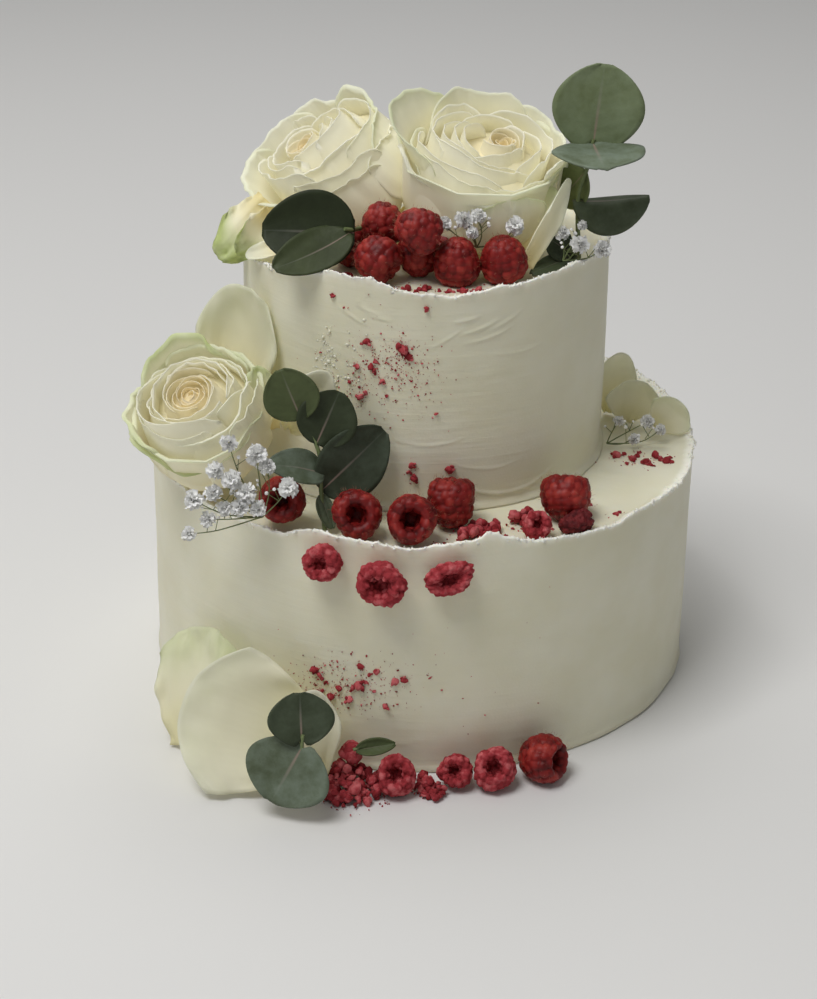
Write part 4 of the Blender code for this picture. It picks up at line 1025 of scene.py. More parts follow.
# each petal: distance of its belly from the middle, how far its lip rolls, size of that roll,
# green tint, then its lip as (heading, distance, height), headings counted from the right
roses = (
    {"name": "rose_top_right", "foot": (21, -8, 195), "axis": (0.02, -0.27, 0.96),
     "stalkEnd": (21, -6, 193.5), "seed": 3, "wave": 0.9, "fullRadius": 34,
     "pack": {"radius": 27, "height": 43.5, "sag": 8.0},
     "coil": {"count": 8, "radius": 8.5, "height": 49.5, "dip": 3.5, "start": 60, "shift": (8.4, 0.5)},
     "petals": (
         (27, 1.4, 2.0, 0.7, ((228, 28, 48), (215, 30, 51), (200, 35, 54), (187, 38, 58), (162, 39, 57.5),
                              (147, 38, 57), (131, 36, 54), (114, 33, 51.5))),
         (29, 1.2, 1.4, 0.3, ((150, 25, 48), (130, 29, 51), (119, 31, 52), (104, 33, 52.5), (88, 32, 50.5),
                              (68, 33, 51.5), (52, 32, 48))),
         (30, 1.6, 1.4, 0.3, ((68, 33, 48), (51, 33, 48), (35, 34.5, 45.5), (15, 35, 45), (-10, 35, 47),
                              (-30, 34.5, 48), (-41, 34, 50))),
         (25, 0.9, 1.2, 0.0, ((156, 23, 48), (140, 23.5, 50.5), (123, 24, 51.5), (109, 24, 50.5),
                              (86, 20, 48))),
         (25, 1.0, 1.2, 0.0, ((92, 17, 48), (72, 19, 50), (54, 22, 50.5), (35, 24, 50), (14, 28, 46.5),
                              (-28, 29, 48.5), (-40, 28, 46), (-52, 27, 45))),
         (24, 0.9, 1.0, 0.0, ((40, 19, 47.5), (15, 22, 47), (-12, 24, 48), (-30, 24, 49), (-40, 22, 46),
                              (-50, 20, 43))),
         (24, 0.9, 1.2, 0.0, ((150, 23, 49.5), (190, 20, 52), (225, 19, 52.5), (249, 18, 50), (271, 19, 46.5),
                              (306, 21, 43.5), (325, 25, 42.5))),
         (28, 1.0, 1.3, 0.0, ((165, 25, 50), (195, 27, 52), (214, 27.5, 52), (224, 26, 49.5), (240, 24, 47.6),
                              (263, 24, 46.5), (290, 25, 44))),
         (30, 1.0, 1.3, 0.1, ((205, 28, 50), (225, 28, 49.5), (240, 27, 45.5), (265, 27, 43.5),
                              (285, 29, 41.5), (310, 30, 41.5), (326, 34, 46.5))),
         (33, 2.2, 2.0, 0.1, ((185, 35, 50), (203, 35, 49), (214, 34, 43.5), (232, 31, 40), (250, 31, 37.5),
                              (275, 33, 37.5), (299, 32, 40), (318, 32, 44))),
         (20, 0.7, 1.0, 0.0, ((111, 15, 49), (160, 16, 51), (205, 16, 52.5), (238, 15, 51), (264, 15, 47),
                              (300, 17, 44), (323, 19, 43))),
         (18, 0.7, 0.9, 0.0, ((225, 14, 48.5), (250, 14, 47.5), (284, 13, 48), (322, 14, 47.5),
                              (345, 17, 49))),
         (22, 0.8, 1.0, 0.0, ((35, 17, 49), (60, 16, 50), (95, 15, 50.5), (125, 15, 49.5))),
         (34, 1.4, 1.6, 0.9, ((268, 33, 37), (282, 34, 39), (296, 35, 40), (307, 36, 39), (316, 36, 36))),
         (33, 1.8, 2.0, 0.5, ((322, 33, 38), (340, 35, 43), (0, 36, 44), (20, 36, 42))),
         (32, 1.6, 1.8, 0.4, ((30, 34, 42), (60, 35, 45), (95, 35, 46), (130, 34, 44))),
         (28, 1.2, 1.8, 0.3, ((140, 30, 43), (170, 29, 44), (198, 29, 43), (215, 30, 40))),
         (12, 0.6, 0.9, 0.0, ((80, 10, 49.5), (125, 8, 51), (180, 7.5, 51.5), (235, 9, 49.5),
                              (270, 10, 47.5))),
         (15, 0.6, 1.0, 0.0, ((110, 12, 49.5), (150, 11, 51.5), (195, 11.5, 52), (240, 12, 49.5))),
         (24, 0.8, 1.1, 0.0, ((95, 20, 48.5), (140, 20, 51), (185, 20, 52), (222, 20, 51)))),
     "guards": (
         dict(base=(39, -53, 199), tip=(57, -37, 230), face=(0.75, -0.6, 0.2), width=11, cup=2.5,
              roundTop=True, wave=1.5, ruffle=0.8, green=0.3, foot=0.7, seed=5),
         dict(base=(38, -40, 200), tip=(51, -36, 226), face=(-0.2, -0.9, 0.2), width=13, roundTop=True,
              cup=-2, wave=2.0, ruffle=0.8, green=1.0, foot=0.5, seed=8))},
    {"name": "rose_top_left", "foot": (-17, 8, 196), "axis": (-0.60, -0.17, 0.78),
     "stalkEnd": (-12, 10, 193.8), "seed": 9, "wave": 1.0, "fullRadius": 34,
     "pack": {"radius": 26, "height": 45.5, "sag": 8.0},
     "coil": {"count": 8, "radius": 9.0, "height": 50.5, "dip": 3.0, "start": 150, "shift": (-8.5, 5.0)},
     "petals": (
         (30, 1.9, 1.8, 0.5, ((78, 29, 49), (62, 30, 51.5), (50, 31, 50), (40, 30, 46), (22, 28, 43),
                              (-2, 28, 43.5), (-24, 29, 44.5), (-42, 30, 41.5))),
         (27, 1.0, 1.4, 0.1, ((75, 23, 48), (58, 25, 48.5), (39, 26, 46), (15, 26, 45.5), (-15, 25.5, 46),
                              (-35, 24.5, 46.5), (-58, 23, 47.5))),
         (19, 0.6, 1.0, 0.0, ((62, 17, 49), (30, 15, 51), (-15, 13.5, 53), (-50, 11, 53), (-90, 9, 52))),
         (26, 1.9, 1.6, 0.0, ((-24, 24, 46), (-42, 23, 47), (-58, 23, 48), (-83, 22, 47.3), (-104, 23, 48),
                              (-116, 23, 50))),
         (30, 1.2, 1.4, 0.1, ((-38, 31, 40.5), (-49, 30, 42), (-66, 29, 41.6), (-86, 29, 43.6),
                              (-102, 29, 46.8), (-116, 29, 49.5))),
         (30, 1.3, 1.5, 0.2, ((60, 31, 49), (74, 29, 48), (83, 29, 50), (92, 32, 53), (105, 32, 52.5),
                              (118, 31, 53))),
         (29, 1.2, 1.3, 0.2, ((98, 30, 50.5), (114, 31, 53), (130, 31, 54.3), (151, 31, 54.7),
                              (168, 32, 55.5))),
         (31, 2.0, 2.0, 0.4, ((145, 32, 53), (162, 33, 55.5), (182, 35, 55), (200, 36, 52.5), (214, 37, 48),
                              (226, 36, 45), (240, 34, 46))),
         (28, 1.0, 1.2, 0.1, ((160, 27, 53.5), (185, 27, 54), (205, 26, 53.5), (228, 26, 52.5),
                              (254, 27, 52), (266, 28, 48))),
         (25, 0.8, 1.1, 0.0, ((120, 26, 52.5), (108, 22, 52.5), (92, 19, 50.5))),
         (23, 0.8, 1.0, 0.0, ((100, 19, 50), (130, 19, 52), (165, 19, 53), (202, 20, 53), (220, 16, 51.5),
                              (243, 12, 50))),
         (25, 0.8, 1.0, 0.0, ((160, 22, 52), (182, 23, 53), (203, 22, 51.5), (224, 18, 51), (242, 17, 49))),
         (23, 0.8, 1.0, 0.0, ((110, 17, 50), (70, 17, 50.5), (35, 17, 50), (5, 18, 48))),
         (34, 1.6, 1.8, 0.1, ((30, 28, 35), (5, 29, 36), (-18, 30, 37), (-38, 31, 39), (-56, 31, 37))),
         (33, 1.4, 1.6, 0.2, ((-45, 32, 36), (-75, 32, 38), (-105, 32, 40), (-130, 33, 41))),
         (12, 0.6, 0.9, 0.0, ((-70, 6, 51), (-15, 5.5, 52), (40, 6.5, 51.5), (90, 9, 50.5))),
         (15, 0.6, 1.0, 0.0, ((-55, 9.5, 51.5), (-5, 10, 52), (40, 10.5, 51), (80, 13, 50))),
         (17, 0.7, 1.0, 0.0, ((210, 14, 51), (245, 9.5, 51), (280, 8.5, 51.5), (320, 10, 51.5))),
         (32, 1.6, 1.8, 0.4, ((40, 30, 40), (75, 31, 43), (110, 33, 45), (145, 34, 44)))),
     "guards": (
         dict(base=(-66, -18, 213), tip=(-86, -23, 189), face=(-0.2, -0.9, 0.3), width=23, roundTop=True,
              cup=-4, wave=6.0, ruffle=6.5, curl=2.0, green=2.6, foot=0.5, seed=6),
         dict(base=(-64, -27, 212), tip=(-77, -33, 194), face=(0.5, -0.8, 0.3), width=16, roundTop=True,
              cup=4, wave=3.0, ruffle=4.0, green=2.2, foot=0.5, seed=7),
         dict(base=(-58, -36, 199), tip=(-74, -36, 195), face=(0.0, -0.6, 0.8), width=9, roundTop=True, cup=2,
              wave=1.5, ruffle=0.5, green=0.2, foot=0.4, seed=2))},
    {"name": "rose_middle", "foot": (-84, -50, 115), "axis": (-0.26, -0.52, 0.80),
     "stalkEnd": (-80, -45, 101.8), "seed": 15, "wave": 0.9, "fullRadius": 29,
     "pack": {"radius": 22, "height": 37.5, "sag": 9.0},
     "coil": {"count": 11, "radius": 14.0, "height": 43.0, "dip": 3.0, "start": 20, "shift": (-0.6, 1.0)},
     "petals": (
         (27, 2.0, 1.8, 1.5, ((163, 24, 36), (151, 25, 39), (143, 27, 40), (131, 28, 40.5), (116, 28, 43.5),
                              (104, 30, 44.5), (88, 30, 42), (76, 27, 36.5), (57, 26, 31))),
         (23, 0.9, 1.2, 0.1, ((85, 19, 37), (109, 19.5, 38), (139, 20, 40), (160, 21.5, 42), (190, 22, 45),
                              (220, 21, 47), (247, 19, 48), (270, 17, 47), (298, 17, 44.5), (316, 19, 43))),
         (22, 1.2, 1.3, 0.2, ((86, 18, 37), (70, 19.5, 37), (52, 23, 36), (28, 24, 36), (6, 23, 39),
                              (-14, 20, 44), (-44, 17, 45))),
         (26, 1.7, 1.6, 0.2, ((5, 26, 45), (-14, 25, 44.5), (-34, 24, 39.5), (-65, 22, 37), (-96, 21.5, 37.3),
                              (-114, 21.5, 40))),
         (27, 1.8, 1.6, 0.9, ((146, 26, 35), (170, 29, 37), (195, 29.5, 39), (218, 28, 38), (234, 27, 36))),
         (27, 2.0, 1.8, 1.1, ((195, 29, 34), (212, 30.5, 34.5), (228, 29, 32), (238, 28, 28.5), (248, 28, 25),
                              (262, 27.5, 23.5), (278, 26, 25))),
         (28, 1.2, 1.4, 0.3, ((12, 29, 41), (-9, 29, 41.5), (-21, 28, 41), (-34, 27, 40), (-50, 25, 39))),
         (25, 0.9, 1.2, 0.1, ((170, 22, 41), (200, 22.5, 42), (235, 21.5, 42), (268, 20, 40.5),
                              (300, 20, 39))),
         (26, 1.6, 1.6, 0.6, ((35, 26, 35), (62, 27, 36), (95, 27, 38), (125, 26, 38))),
         (28, 1.8, 1.8, 0.6, ((275, 27, 25), (300, 28, 29), (330, 29, 33), (0, 29, 35))),
         (28, 1.8, 1.8, 0.8, ((10, 28, 32), (45, 28, 33), (85, 28, 34), (120, 28, 35), (150, 28, 33))),
         (20, 0.8, 1.1, 0.0, ((95, 16, 39.5), (130, 16.5, 41), (170, 17, 42.5), (205, 17.5, 43.5))),
         (20, 0.8, 1.1, 0.0, ((185, 18, 43), (225, 17, 44.5), (265, 15.5, 44.5), (300, 15, 42.5))),
         (19, 0.8, 1.1, 0.0, ((280, 15.5, 42.5), (320, 15.5, 44), (0, 17, 43.5), (30, 18, 40))),
         (20, 0.8, 1.1, 0.0, ((5, 18, 41), (45, 18.5, 39), (80, 17.5, 38.5), (115, 16.5, 39))),
         (24, 1.0, 1.3, 0.2, ((120, 21, 38.5), (150, 22, 40.5), (185, 22.5, 42.5), (215, 21.5, 44.5))),
         (23, 1.0, 1.3, 0.1, ((25, 22, 37), (55, 21.5, 37.5), (95, 20.5, 37.5), (130, 21, 38)))),
     "guards": (
         dict(base=(-64, -60, 128), tip=(-69, -62, 157), face=(0.3, -0.9, 0.2), width=17, roundTop=True,
              cup=3, wave=3.0, ruffle=2.0, green=1.2, foot=0.5, seed=4),)},
)

print("roses")
for rose in roses:
    makeRose(rose)


# Loose petals

loosePetals = {
    "petal_ledge_back": dict(base=(-78, -38, 130), tip=(-75, -40, 184), face=(-0.45, -0.87, 0.2), width=42,
                             cup=6, bend=-4, wave=5, ruffle=1.8, drop=0.42, foot=0.35, green=0.35, side=6),
    "petal_ledge_right": dict(base=(-56, -67, 132), tip=(-40, -80, 163), face=(0.25, -0.9, 0.35), width=25,
                              cup=3, bend=3, wave=4, green=0.2, side=2),
    "petal_foot_front": dict(base=(-47, -128, 20), tip=(-97, -124, 34), face=(0.05, -0.88, 0.42), width=62,
                             cup=7, bend=-3, wave=3, ruffle=2.2, drop=0.38, foot=0.5, green=0.25),
    "petal_foot_left": dict(base=(-92, -110, 4.5), tip=(-92, -88, 50), face=(-0.5, -0.8, 0.25), width=42,
                            cup=3, bend=1, wave=4, ruffle=3.4, drop=0.24, foot=0.7, green=0.8, side=-3),
    "petal_foot_right": dict(base=(-40, -133, 6), tip=(-45, -125, 43), face=(0.2, -0.9, 0.3), width=22, cup=2,
                             wave=3, green=0.2, curl=2),
    "petal_rear_tall": dict(base=(84, 24, 101.5), tip=(88, 20, 133), face=(0.2, -0.9, 0.2), width=20, cup=4,
                            wave=3, green=0.3, curl=2),
    "petal_rear_wide": dict(base=(92, 12, 101.5), tip=(94, 14, 122), face=(0.2, -0.9, 0.3), width=26, cup=4,
                            wave=3, green=0.3, curl=2),
    "petal_rear_right": dict(base=(104, 3, 102.2), tip=(115, 5, 115), face=(0.2, -0.8, 0.5), width=22, cup=4,
                             wave=3, green=0.6, curl=2),
}

print("loose petals")
for index, (name, shape) in enumerate(loosePetals.items()):
    verts, faces, values = blade(**shape, roundTop=True, rows=30, columns=28, seed=index * 3.7)
    obj = makeObject(name + "_sheet", verts, faces, loosePetalSkin, values)
    thicken(obj, 0.6)
    settle(obj, "loose_petal", name)


# Eucalyptus

# each leaf's light value is painted shade: low for leaves in the shade of the roses, high for lit ones
sprigs = {
    "eucalyptus_top_right": {
        "stems": ((((63, -28, 193.5), (61, -33, 220), (64, -33, 233), (66, -33, 245)), 1.0, 0.8),),
        "leaves": (dict(base=(66, -33, 244), tip=(69, -31, 275), face=(0, -0.9, 0.35), width=37, notch=0.10,
                        cup=1.2, light=0.85, bloom=0.3),
                   dict(base=(66, -33.5, 243.5), tip=(68, -64, 242), face=(0, -0.2, 1), width=37,
                        notch=0.08, cup=1.0, wave=2.0, light=0.45, bloom=0.6),
                   dict(base=(63.5, -33, 232), tip=(55, -19, 215), face=(-0.1, -0.8, 0.5), width=19,
                        light=0.85),
                   dict(base=(59, -33, 219.5), tip=(90, -32, 221.5), face=(0, -0.35, 0.94), width=22,
                        bend=-1, cup=-10, light=0.22, bloom=0.2)),
    },
    "eucalyptus_top_low": {
        "stems": ((((62, -31, 194.2), (60, -35, 198), (57.5, -38, 200)), 1.1, 0.9),),
        "leaves": (dict(base=(60.8, -33.6, 196.6), tip=(42, -55.5, 196.2), face=(-0.2, -0.6, 0.8), width=9,
                        cup=0.6, light=0.15, bloom=0.1),
                   dict(base=(58.4, -37, 199.2), tip=(48, -42, 207), face=(0.3, -0.8, 0.4), width=13, cup=1.0,
                        light=0.05, bloom=0.1)),
    },
    "eucalyptus_top_left": {
        "stems": ((((-27, -43, 210), (-30, -48, 211), (-33, -50, 212)), 1.0, 0.8),),
        "leaves": (dict(base=(-29, -49, 210), tip=(-66, -50, 211), face=(0, -0.85, 0.5), width=32, drop=0.8,
                        cup=5, light=0.0, bloom=0.0),
                   dict(base=(-31, -50, 210.5), tip=(-60, -69, 201.5), face=(0, -0.6, 0.8), width=20,
                        bend=-2, cup=1.5, light=0.13, bloom=0.0)),
    },
    "eucalyptus_middle": {
        "stems": ((((-39.5, -98, 101.5), (-41, -95, 118), (-42, -91, 133), (-49, -89, 147)), 1.0, 0.8),),
        "leaves": (dict(base=(-49, -89, 146), tip=(-57, -86, 166), face=(-0.2, -0.9, 0.3), width=23, cup=1.5,
                        light=0.3, bloom=0.0),
                   dict(base=(-43, -91, 136), tip=(-34, -84, 156), face=(0.2, -0.9, 0.3), width=25, cup=1.5,
                        light=0.04, bloom=0.05),
                   dict(base=(-40, -93, 124), tip=(-62, -103, 132), face=(0, -0.6, 0.8), width=16, bend=2,
                        light=0.2, bloom=0.45),
                   dict(base=(-40.8, -94.8, 117.3), tip=(-16, -81, 138), face=(0.2, -1, 0.1), width=28,
                        cup=2.5, light=0.02, bloom=0.15),
                   dict(base=(-41.2, -95.5, 116), tip=(-36.5, -100, 103), face=(0.3, -1, 0.2), width=7,
                        cup=0.4, light=0.3, bloom=0.3)),
    },
    "eucalyptus_foot": {
        "stems": ((((-47, -148, 27), (-47, -147, 31), (-46.5, -146, 35)), 1.0, 0.8),),
        "leaves": (dict(base=(-47, -147, 33), tip=(-48, -139, 50), face=(0.2, -0.9, 0.4), width=27, notch=0.1,
                        light=0.06, bloom=0.12),
                   dict(base=(-47, -148, 30), tip=(-59, -155, 9), face=(-0.1, -0.9, 0.4), width=36,
                        notch=0.08, light=0.3, bloom=0.5)),
    },
    "leaf_foot_small": {
        "stems": ((((-27, -131.5, 18.5), (-25, -131, 19)), 0.8, 0.6),),
        "leaves": (dict(base=(-26, -131.5, 18.5), tip=(-10, -129, 20), face=(0, -0.8, 0.6), width=7,
                        light=0.3),),
    },
}

print("eucalyptus")
for name, sprig in sprigs.items():
    verts, faces, values = join([blade(**leaf, rows=20, columns=16) for leaf in sprig["leaves"]])
    obj = makeObject(name + "_leaves", verts, faces, leafSkin, values)
    thicken(obj, 0.6)
    settle(obj, "eucalyptus_leaf", name)
    settle(makeStems(name + "_stem", sprig["stems"], stemSkin), "eucalyptus_leaf", name)


# Gypsophila

sprays = {
    "gypsophila_top": {"root": (20, -50, 205), "heads": (
        (14.5, -51, 217, 7.4), (6.5, -51, 215, 6.0), (20.5, -51, 218.5, 6.0), (18, -54, 212.5, 5.0),
        (35, -52, 215, 7.4))},
    "gypsophila_top_right": {"root": (55, -46, 198.5), "heads": (
        (61.5, -47, 206, 7.6), (70.5, -46, 203.5, 7.0), (54.5, -44, 209.5, 6.0), (62.5, -43, 212.5, 4.0))},
    "gypsophila_middle": {"root": (-64, -104, 110), "heads": (
        (-76, -110, 145, 7.0), (-65.5, -110, 140, 8.4), (-61, -110, 135, 6.4), (-81.5, -110, 133, 7.0),
        (-75, -112, 130, 8.0), (-82.5, -112, 124, 7.0), (-69.5, -113, 125, 8.4), (-78, -113, 118, 6.4),
        (-90.5, -110, 120, 8.0), (-53, -112, 127, 8.0), (-93, -110, 105, 6.0), (-72, -114, 119, 7.2),
        (-65, -114, 118.5, 6.6), (-85, -111, 112, 6.2))},
    "gypsophila_rear": {"root": (81, -12, 101.8), "heads": (
        (86, -10, 112, 5.0), (92.5, -14, 105, 5.0), (99, -8, 111, 6.0), (104.5, -10, 108, 5.0))},
}

print("gypsophila")
for index, (name, spray) in enumerate(sprays.items()):
    rng = random.Random(70 + index)
    root = Vector(spray["root"])
    paths, places, sizes, buds = [], [], [], []
    for x, y, z, size in spray["heads"]:
        head = Vector((x, y, z))
        fork = root.lerp(head, 0.55) + Vector((rng.uniform(-2, 2), rng.uniform(-1, 1), rng.uniform(-3, 0.5)))
        paths.append(((tuple(root), tuple(fork), tuple(head)), 0.32, 0.18))
        places.append((x, y, z))
        sizes.append(size * 0.0011 / 2)
        # a couple of closed buds leave each stem
        for _ in range(2):
            at = fork.lerp(head, rng.uniform(0.0, 0.5))
            bud = at + Vector((rng.uniform(-6, 6), rng.uniform(-3, 3), rng.uniform(2, 7)))
            paths.append(((tuple(at), tuple(bud)), 0.17, 0.14))
            buds.append((*bud, rng.uniform(0.5, 0.9)))
    flowers = makeObject(name + "_florets", places, [], None, {"size": sizes})
    runTree(flowers, floretTree, {"Skin": floretSkin})
    settle(flowers, "gypsophila", name)
    settle(makeStems(name + "_stems", paths, stemSkin), "gypsophila", name)
    verts, values = crumbPoints(buds, 90 + index)
    closed = makeObject(name + "_buds", verts, [], None, values)
    runTree(closed, drupeletTree, {"Faces": 2, "Flatness": 1.1, "Knock": 0.0002, "Skin": floretSkin})
    settle(closed, "gypsophila", name)


# Raspberries

# the point of the profile where a hollow berry turns inwards
lipPoint = 8


def berryProfile(berry):
    # half outline from the tip over the shoulder to the mouth, as shares of the radius and length
    line = [(0.0, -0.50), (0.30, -0.485), (0.58, -0.41), (0.80, -0.27), (0.94, -0.08), (1.0, 0.12),
            (0.95, 0.31), (0.80, 0.44)]
    if berry["hollow"]:
        line += [(0.66, 0.50), (0.50, 0.46), (0.39, 0.33), (0.34, 0.14), (0.24, -0.02), (0.0, -0.06)]
    else:
        line += [(0.55, 0.49), (0.28, 0.45), (0.0, 0.42)]
    return [Vector((berry["radius"] * r, berry["length"] * z)) for r, z in line]


def runOf(line):
    # the length run at each point of a line
    lengths = [0.0]
    for before, after in zip(line, line[1:]):
        lengths.append(lengths[-1] + (after - before).length)
    return lengths


def onProfile(line, lengths, at):
    # place and outward direction at a length along the profile
    k = max(i for i in range(len(line) - 1) if lengths[i] <= at + 1e-9)
    share = (at - lengths[k]) / (lengths[k + 1] - lengths[k])
    slope = (line[k + 1] - line[k]).normalized()
    return line[k].lerp(line[k + 1], share), Vector((slope.y, -slope.x))


def layDrupelets(berry, line, lengths):
    # drupelets in offset rows: the middle, reach and tone of each
    rng = random.Random(berry["seed"])
    size = berry["drupelet"]
    centres, reaches, tones = [], [], []
    rowCount = max(3, round(lengths[-1] / (size * 0.84)))
    for row in range(rowCount + 1):
        at = lengths[-1] * row / rowCount
        spot, _ = onProfile(line, lengths, at)
        inside = berry["hollow"] and at > lengths[lipPoint] + size * 0.5
        count = max(1, round(math.tau * spot.x / size))
        for step in range(count):
            angle = math.tau * (step + 0.5 * (row % 2) + rng.uniform(-0.14, 0.14)) / count
            centres.append((spot.x * math.cos(angle), spot.x * math.sin(angle),
                            spot.y + rng.uniform(-0.1, 0.1) * size))
            reaches.append(size * rng.uniform(0.60, 0.74) * (0.7 if inside else 1.0))
            tones.append(rng.uniform(0.05, 0.40))
    return np.array(centres), np.array(reaches), np.array(tones)


def makeSkin(name, berry, skin):
    # one closed skin, swollen over the drupelets and creased between them
    turn = axesAlong(berry["mouth"], (0.9, 0.3, 0.31))
    line = berryProfile(berry)
    lengths = runOf(line)
    centres, reaches, tones = layDrupelets(berry, line, lengths)
    rows, sides = berry["rows"], berry["sides"]
    spots, outs, depth = [], [], []
    for row in range(rows + 1):
        at = lengths[-1] * row / rows
        spot, out = onProfile(line, lengths, min(at, lengths[-1] - 1e-6))
        for side in range(sides):
            angle = math.tau * side / sides
            cos, sin = math.cos(angle), math.sin(angle)
            tear = berry["tear"] * wobble((cos * 1.6, sin * 1.6, 0.0), berry["seed"] * 0.37)
            lean = 1 + berry["warp"] * wobble((cos * 0.9, sin * 0.9, spot.y / 9), berry["seed"] * 0.61)
            top = smooth(0.0, 1.0, spot.y / (berry["length"] * 0.5))
            spots.append((spot.x * cos * lean, spot.x * sin * lean, spot.y + tear * top))
            outs.append((out.x * cos, out.x * sin, out.y))
            depth.append(1.0 if berry["hollow"] and at > lengths[lipPoint] else 0.0)
    spots, outs = np.array(spots), np.array(outs)
    away = np.linalg.norm(spots[:, None, :] - centres[None, :, :], axis=2) / reaches[None, :]
    domes = np.sqrt(np.clip(1.0 - away ** 2, 0.0, 1.0))
    nearest = domes.argmax(axis=1)
    lift = domes.max(axis=1)
    verts, tone, facing = [], [], []
    for index, (spot, out) in enumerate(zip(spots, outs)):
        proud = berry["lift"] * (lift[index] - 0.45) * (1.0 - 0.55 * depth[index])
        proud += berry["wrinkle"] * (wobble(spot / 0.9, berry["seed"]) + wobble(spot / 2.2, 3.0))
        local = Vector(spot + out * proud)
        local.y *= berry["flat"]
        local.x *= berry["long"]
        verts.append(tuple(Vector(berry["centre"]) + turn @ local))
        # painted light and shade: each drupelet's own random tone, made lighter on the domes and darker in
        # the creases between them, and darker inside a hollow berry
        tone.append(float(tones[nearest[index]] + 0.3 * (lift[index] - 0.62) - berry["dark"] * depth[index]))
        facing.append(tuple(turn @ Vector(out)))
    faces = []
    for row in range(rows):
        for side in range(sides):
            after = (side + 1) % sides
            faces.append((row * sides + side, row * sides + after, (row + 1) * sides + after,
                          (row + 1) * sides + side))
    obj = makeObject(name + "_skin", verts, faces, skin, {"tone": tone})
    weld = bmesh.new()
    weld.from_mesh(obj.data)
    bmesh.ops.remove_doubles(weld, verts=weld.verts, dist=0.00001)
    bmesh.ops.recalc_face_normals(weld, faces=weld.faces)
    weld.to_mesh(obj.data)
    weld.free()
    obj.data.shade_smooth()
    return obj, verts, facing, depth


front = (0.0, -0.9, 0.42)
freshBerries = (
    # name, centre, mouth, radius, length, hollow
    ("raspberry_top_1", (-20, -57.5, 202.6), (0.75, -0.5, -0.4), 8.7, 16, False),
    ("raspberry_top_2", (-3.4, -49, 200.6), (0, 0.5, 0.8), 7.9, 15, False),
    ("raspberry_top_3", (12, -57, 201.6), (0, 0.2, -0.98), 8.6, 18, False),
    ("raspberry_top_4", (30.5, -55.7, 202.6), (0.2, 0.2, -0.96), 8.8, 17, False),
    ("raspberry_top_5", (-18, -43, 212.5), (0, 0.5, -0.8), 8.0, 16, False),
    ("raspberry_top_6", (-4.1, -60.5, 215.5), (0.85, 0.2, -0.4), 8.3, 16.5, False),
    ("raspberry_top_7", (-31, -38, 201.2), (0.3, 0.5, -0.8), 7.5, 14, False),
    ("raspberry_top_8", (7, -38, 200), (0.3, 0.5, 0.8), 6.5, 13, False),
    ("raspberry_ledge_1", (-57, -93, 112), front, 9.0, 16, True),
    ("raspberry_ledge_2", (-26.4, -102.2, 110.6), front, 9.4, 17, True),
    ("raspberry_ledge_3", (-4.9, -106.5, 110.9), front, 9.8, 18, True),
    ("raspberry_ledge_4", (11.5, -90.4, 110.6), (0, 0.35, 0.93), 9.2, 19, False),
    ("raspberry_ledge_5", (58, -83.2, 109.9), (0, 0.5, 0.85), 9.8, 17, False),
    ("raspberry_foot_4", (50.2, -121.8, 9.2), (0.8, -0.5, 0.2), 9.2, 17, True),
)
driedBerries = (
    # the same, then whether it dried darker
    ("raspberry_ledge_6", (45.5, -101.5, 106.3), (0.1, -0.8, 0.6), 5.4, 9, True, False),
    ("raspberry_ledge_7", (61.5, -95.5, 105.0), (0.9, 0.35, 0.1), 4.0, 13, False, True),
    ("raspberry_foot_1", (-9.5, -134, 8.4), (0, -0.8, 0.6), 7.9, 13, True, False),
    ("raspberry_foot_2", (14, -129.0, 7.0), (0, -0.8, 0.6), 6.6, 11, True, False),
    ("raspberry_foot_3", (30.2, -128.4, 8.0), (0, -0.75, 0.65), 8.2, 13, True, False),
)


def makeBerry(name, berry, skin, slot, hairs):
    obj, verts, facing, depth = makeSkin(name, berry, skin)
    settle(obj, slot, name)
    if hairs:
        rng = random.Random(berry["seed"] + 1)
        outside = [i for i in range(len(verts)) if not depth[i] and facing[i][2] > -0.35]
        picked = rng.sample(outside, hairs)
        tips = [tuple(Vector(verts[i]) + Vector(facing[i]) * 0.45) for i in picked]
        fuzz = makeObject(name + "_hairs", tips, [], None, {"facing": [facing[i] for i in picked]})
        runTree(fuzz, hairTree, {"Skin": hairSkin})
        settle(fuzz, slot, name)


# drupelet size, swelling, wrinkles and torn mouth are in millimetres
# dark, in both looks, is painted shade inside the hollow of a hollow berry
freshLook = {"drupelet": 3.7, "lift": 1.75, "dark": 0.12, "wrinkle": 0.10, "tear": 0.9, "warp": 0.13,
             "flat": 1.0, "long": 1.0, "rows": 62, "sides": 84}
driedLook = {"drupelet": 3.0, "lift": 1.4, "dark": 0.05, "wrinkle": 0.5, "tear": 2.0, "warp": 0.28,
             "flat": 1.0, "long": 1.0, "rows": 60, "sides": 80}
# one piece on the ledge dried darker than the rest
oldSkin = makeBerrySkin("darkDriedRaspberry", {
    "deep": "#3E0D10", "red": "#5E181B", "bright": "#7C2B2C", "patch": 420.0, "grain": 1500.0,
    "rough": 0.55, "dull": 0.6, "shine": 0.3, "glow": 0.03})

print("raspberries")
for seed, (name, centre, mouth, radius, length, hollow) in enumerate(freshBerries):
    makeBerry(name, dict(freshLook, centre=centre, mouth=mouth, radius=radius, length=length, hollow=hollow,
                         seed=500 + seed), berrySkin, "raspberry", 110)
for seed, (name, centre, mouth, radius, length, hollow, old) in enumerate(driedBerries):
    makeBerry(name, dict(driedLook, centre=centre, mouth=mouth, radius=radius, length=length, hollow=hollow,
                         seed=540 + seed), oldSkin if old else driedSkin, "dried_raspberry", 0)

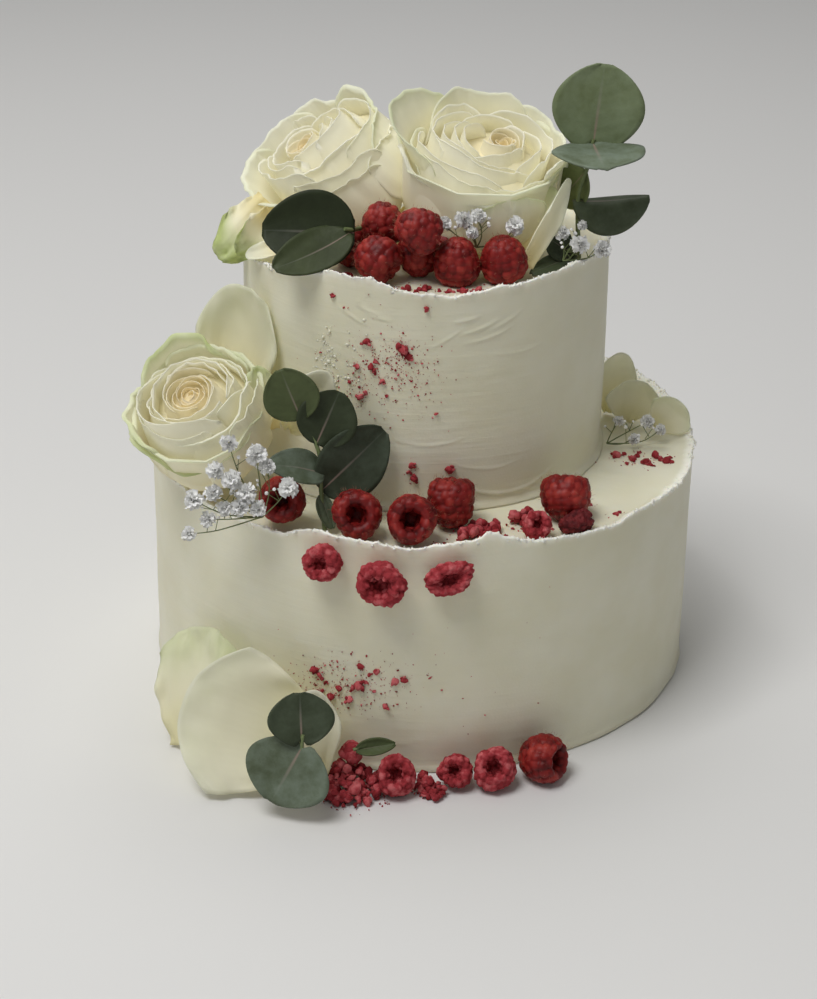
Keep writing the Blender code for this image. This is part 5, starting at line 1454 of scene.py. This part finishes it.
# dried rings stuck to the lower side
sideBerries = (
    # name, heading, height, radius, length, flatness across and along
    ("raspberry_side_1", -108.4, 98.0, 8.0, 8.0, 0.92, 1.0),
    ("raspberry_side_2", -97.5, 93.0, 9.4, 11.0, 1.0, 1.0),
    ("raspberry_side_3", -85.1, 94.8, 8.8, 8.0, 0.7, 1.1),
)
for seed, (name, heading, height, radius, length, flat, long) in enumerate(sideBerries):
    angle = math.radians(heading)
    reach = 120.8 + length * 0.5
    makeBerry(name, dict(driedLook, centre=(reach * math.cos(angle), reach * math.sin(angle), height),
                         mouth=(math.cos(angle), math.sin(angle), 0.0), radius=radius, length=length,
                         hollow=True, flat=flat, long=long, seed=560 + seed), driedSkin, "dried_raspberry", 0)


# Heaps of crumbs

heaps = {
    # the mound is (x, y, reach, height) and a larger piece (x, y, height, size)
    "crumbs_ledge_left": {"floor": 100.5, "mound": (22, -99, 7.5, 3.0), "bits": (
        (16, -103, 2.6, 6.5), (21, -102, 3.4, 8.5), (27.5, -100.5, 2.8, 7.0), (29, -95, 2.6, 6.5),
        (24, -95.5, 3.2, 7.0))},
    "crumbs_ledge_right": {"floor": 100.5, "mound": (42, -87, 6.0, 2.4), "bits": (
        (37.5, -88, 3.0, 7.0), (42.5, -84.5, 3.0, 7.0), (46.5, -87.5, 2.6, 6.0), (42, -90.5, 2.6, 5.5))},
    "crumbs_foot": {"floor": 0.0, "mound": (-28, -133, 12.5, 11.0), "bits": (
        (-19, -134, 5.0, 8.5), (-17, -138.5, 3.2, 7.0), (-38, -139, 3.0, 6.5), (-16.5, -130, 4.0, 7.0),
        (-28.5, -127, 13.0, 12.0), (-33, -130, 8.0, 9.0), (-23, -129, 7.0, 8.5), (-36.5, -135, 4.6, 7.5),
        (-34, -141, 3.6, 8.0), (-26, -139, 5.4, 10.0), (-30, -143, 3.0, 7.0), (-22, -140.5, 3.0, 6.5))},
    "crumbs_foot_right": {"floor": 0.0, "mound": (3.5, -132.0, 5.0, 3.0), "bits": (
        (6.5, -139.5, 2.6, 6.5), (3.0, -134.0, 5.0, 6.5), (9.5, -136.5, 2.4, 5.0),
        (2.5, -128.5, 3.6, 7.0), (5.0, -134.5, 2.6, 5.0), (0.8, -133.5, 2.6, 6.0), (3.5, -138.0, 2.4, 6.0))},
}

print("heaps of crumbs")
for index, (name, heap) in enumerate(heaps.items()):
    rng = random.Random(200 + index)
    x, y, reach, height = heap["mound"]
    floor = heap["floor"]
    crumbs = []
    # broken bits packed over the mound
    for _ in range(int(reach * reach * 0.8)):
        angle, out = rng.uniform(0, math.tau), reach * math.sqrt(rng.random()) * 1.05
        over = height * (1 - (out / reach / 1.1) ** 2) * rng.uniform(0.55, 1.0)
        half = rng.uniform(0.7, 2.1)
        crumbs.append((x + out * math.cos(angle), y + out * math.sin(angle), floor + max(half * 0.95, over),
                       half))
    # each larger piece is a knot of dried drupelets
    for bx, by, lift, size in heap["bits"]:
        for _ in range(7):
            spot = Vector((rng.gauss(0, 1), rng.gauss(0, 1), rng.gauss(0, 1))).normalized() * size * 0.22
            half = size * rng.uniform(0.20, 0.32)
            crumbs.append((bx + spot.x, by + spot.y, max(floor + half, floor + lift + spot.z), half))
    # loose grains round about
    for _ in range(int(reach * 7)):
        angle, out = rng.uniform(0, math.tau), reach * rng.uniform(0.9, 1.5)
        half = rng.uniform(0.15, 0.55)
        crumbs.append((x + out * math.cos(angle), y + out * math.sin(angle), floor + half * 0.9, half))
    settle(makeCrumbs(name + "_bits", crumbs, 300 + index), "dried_raspberry", name)

print("finish")
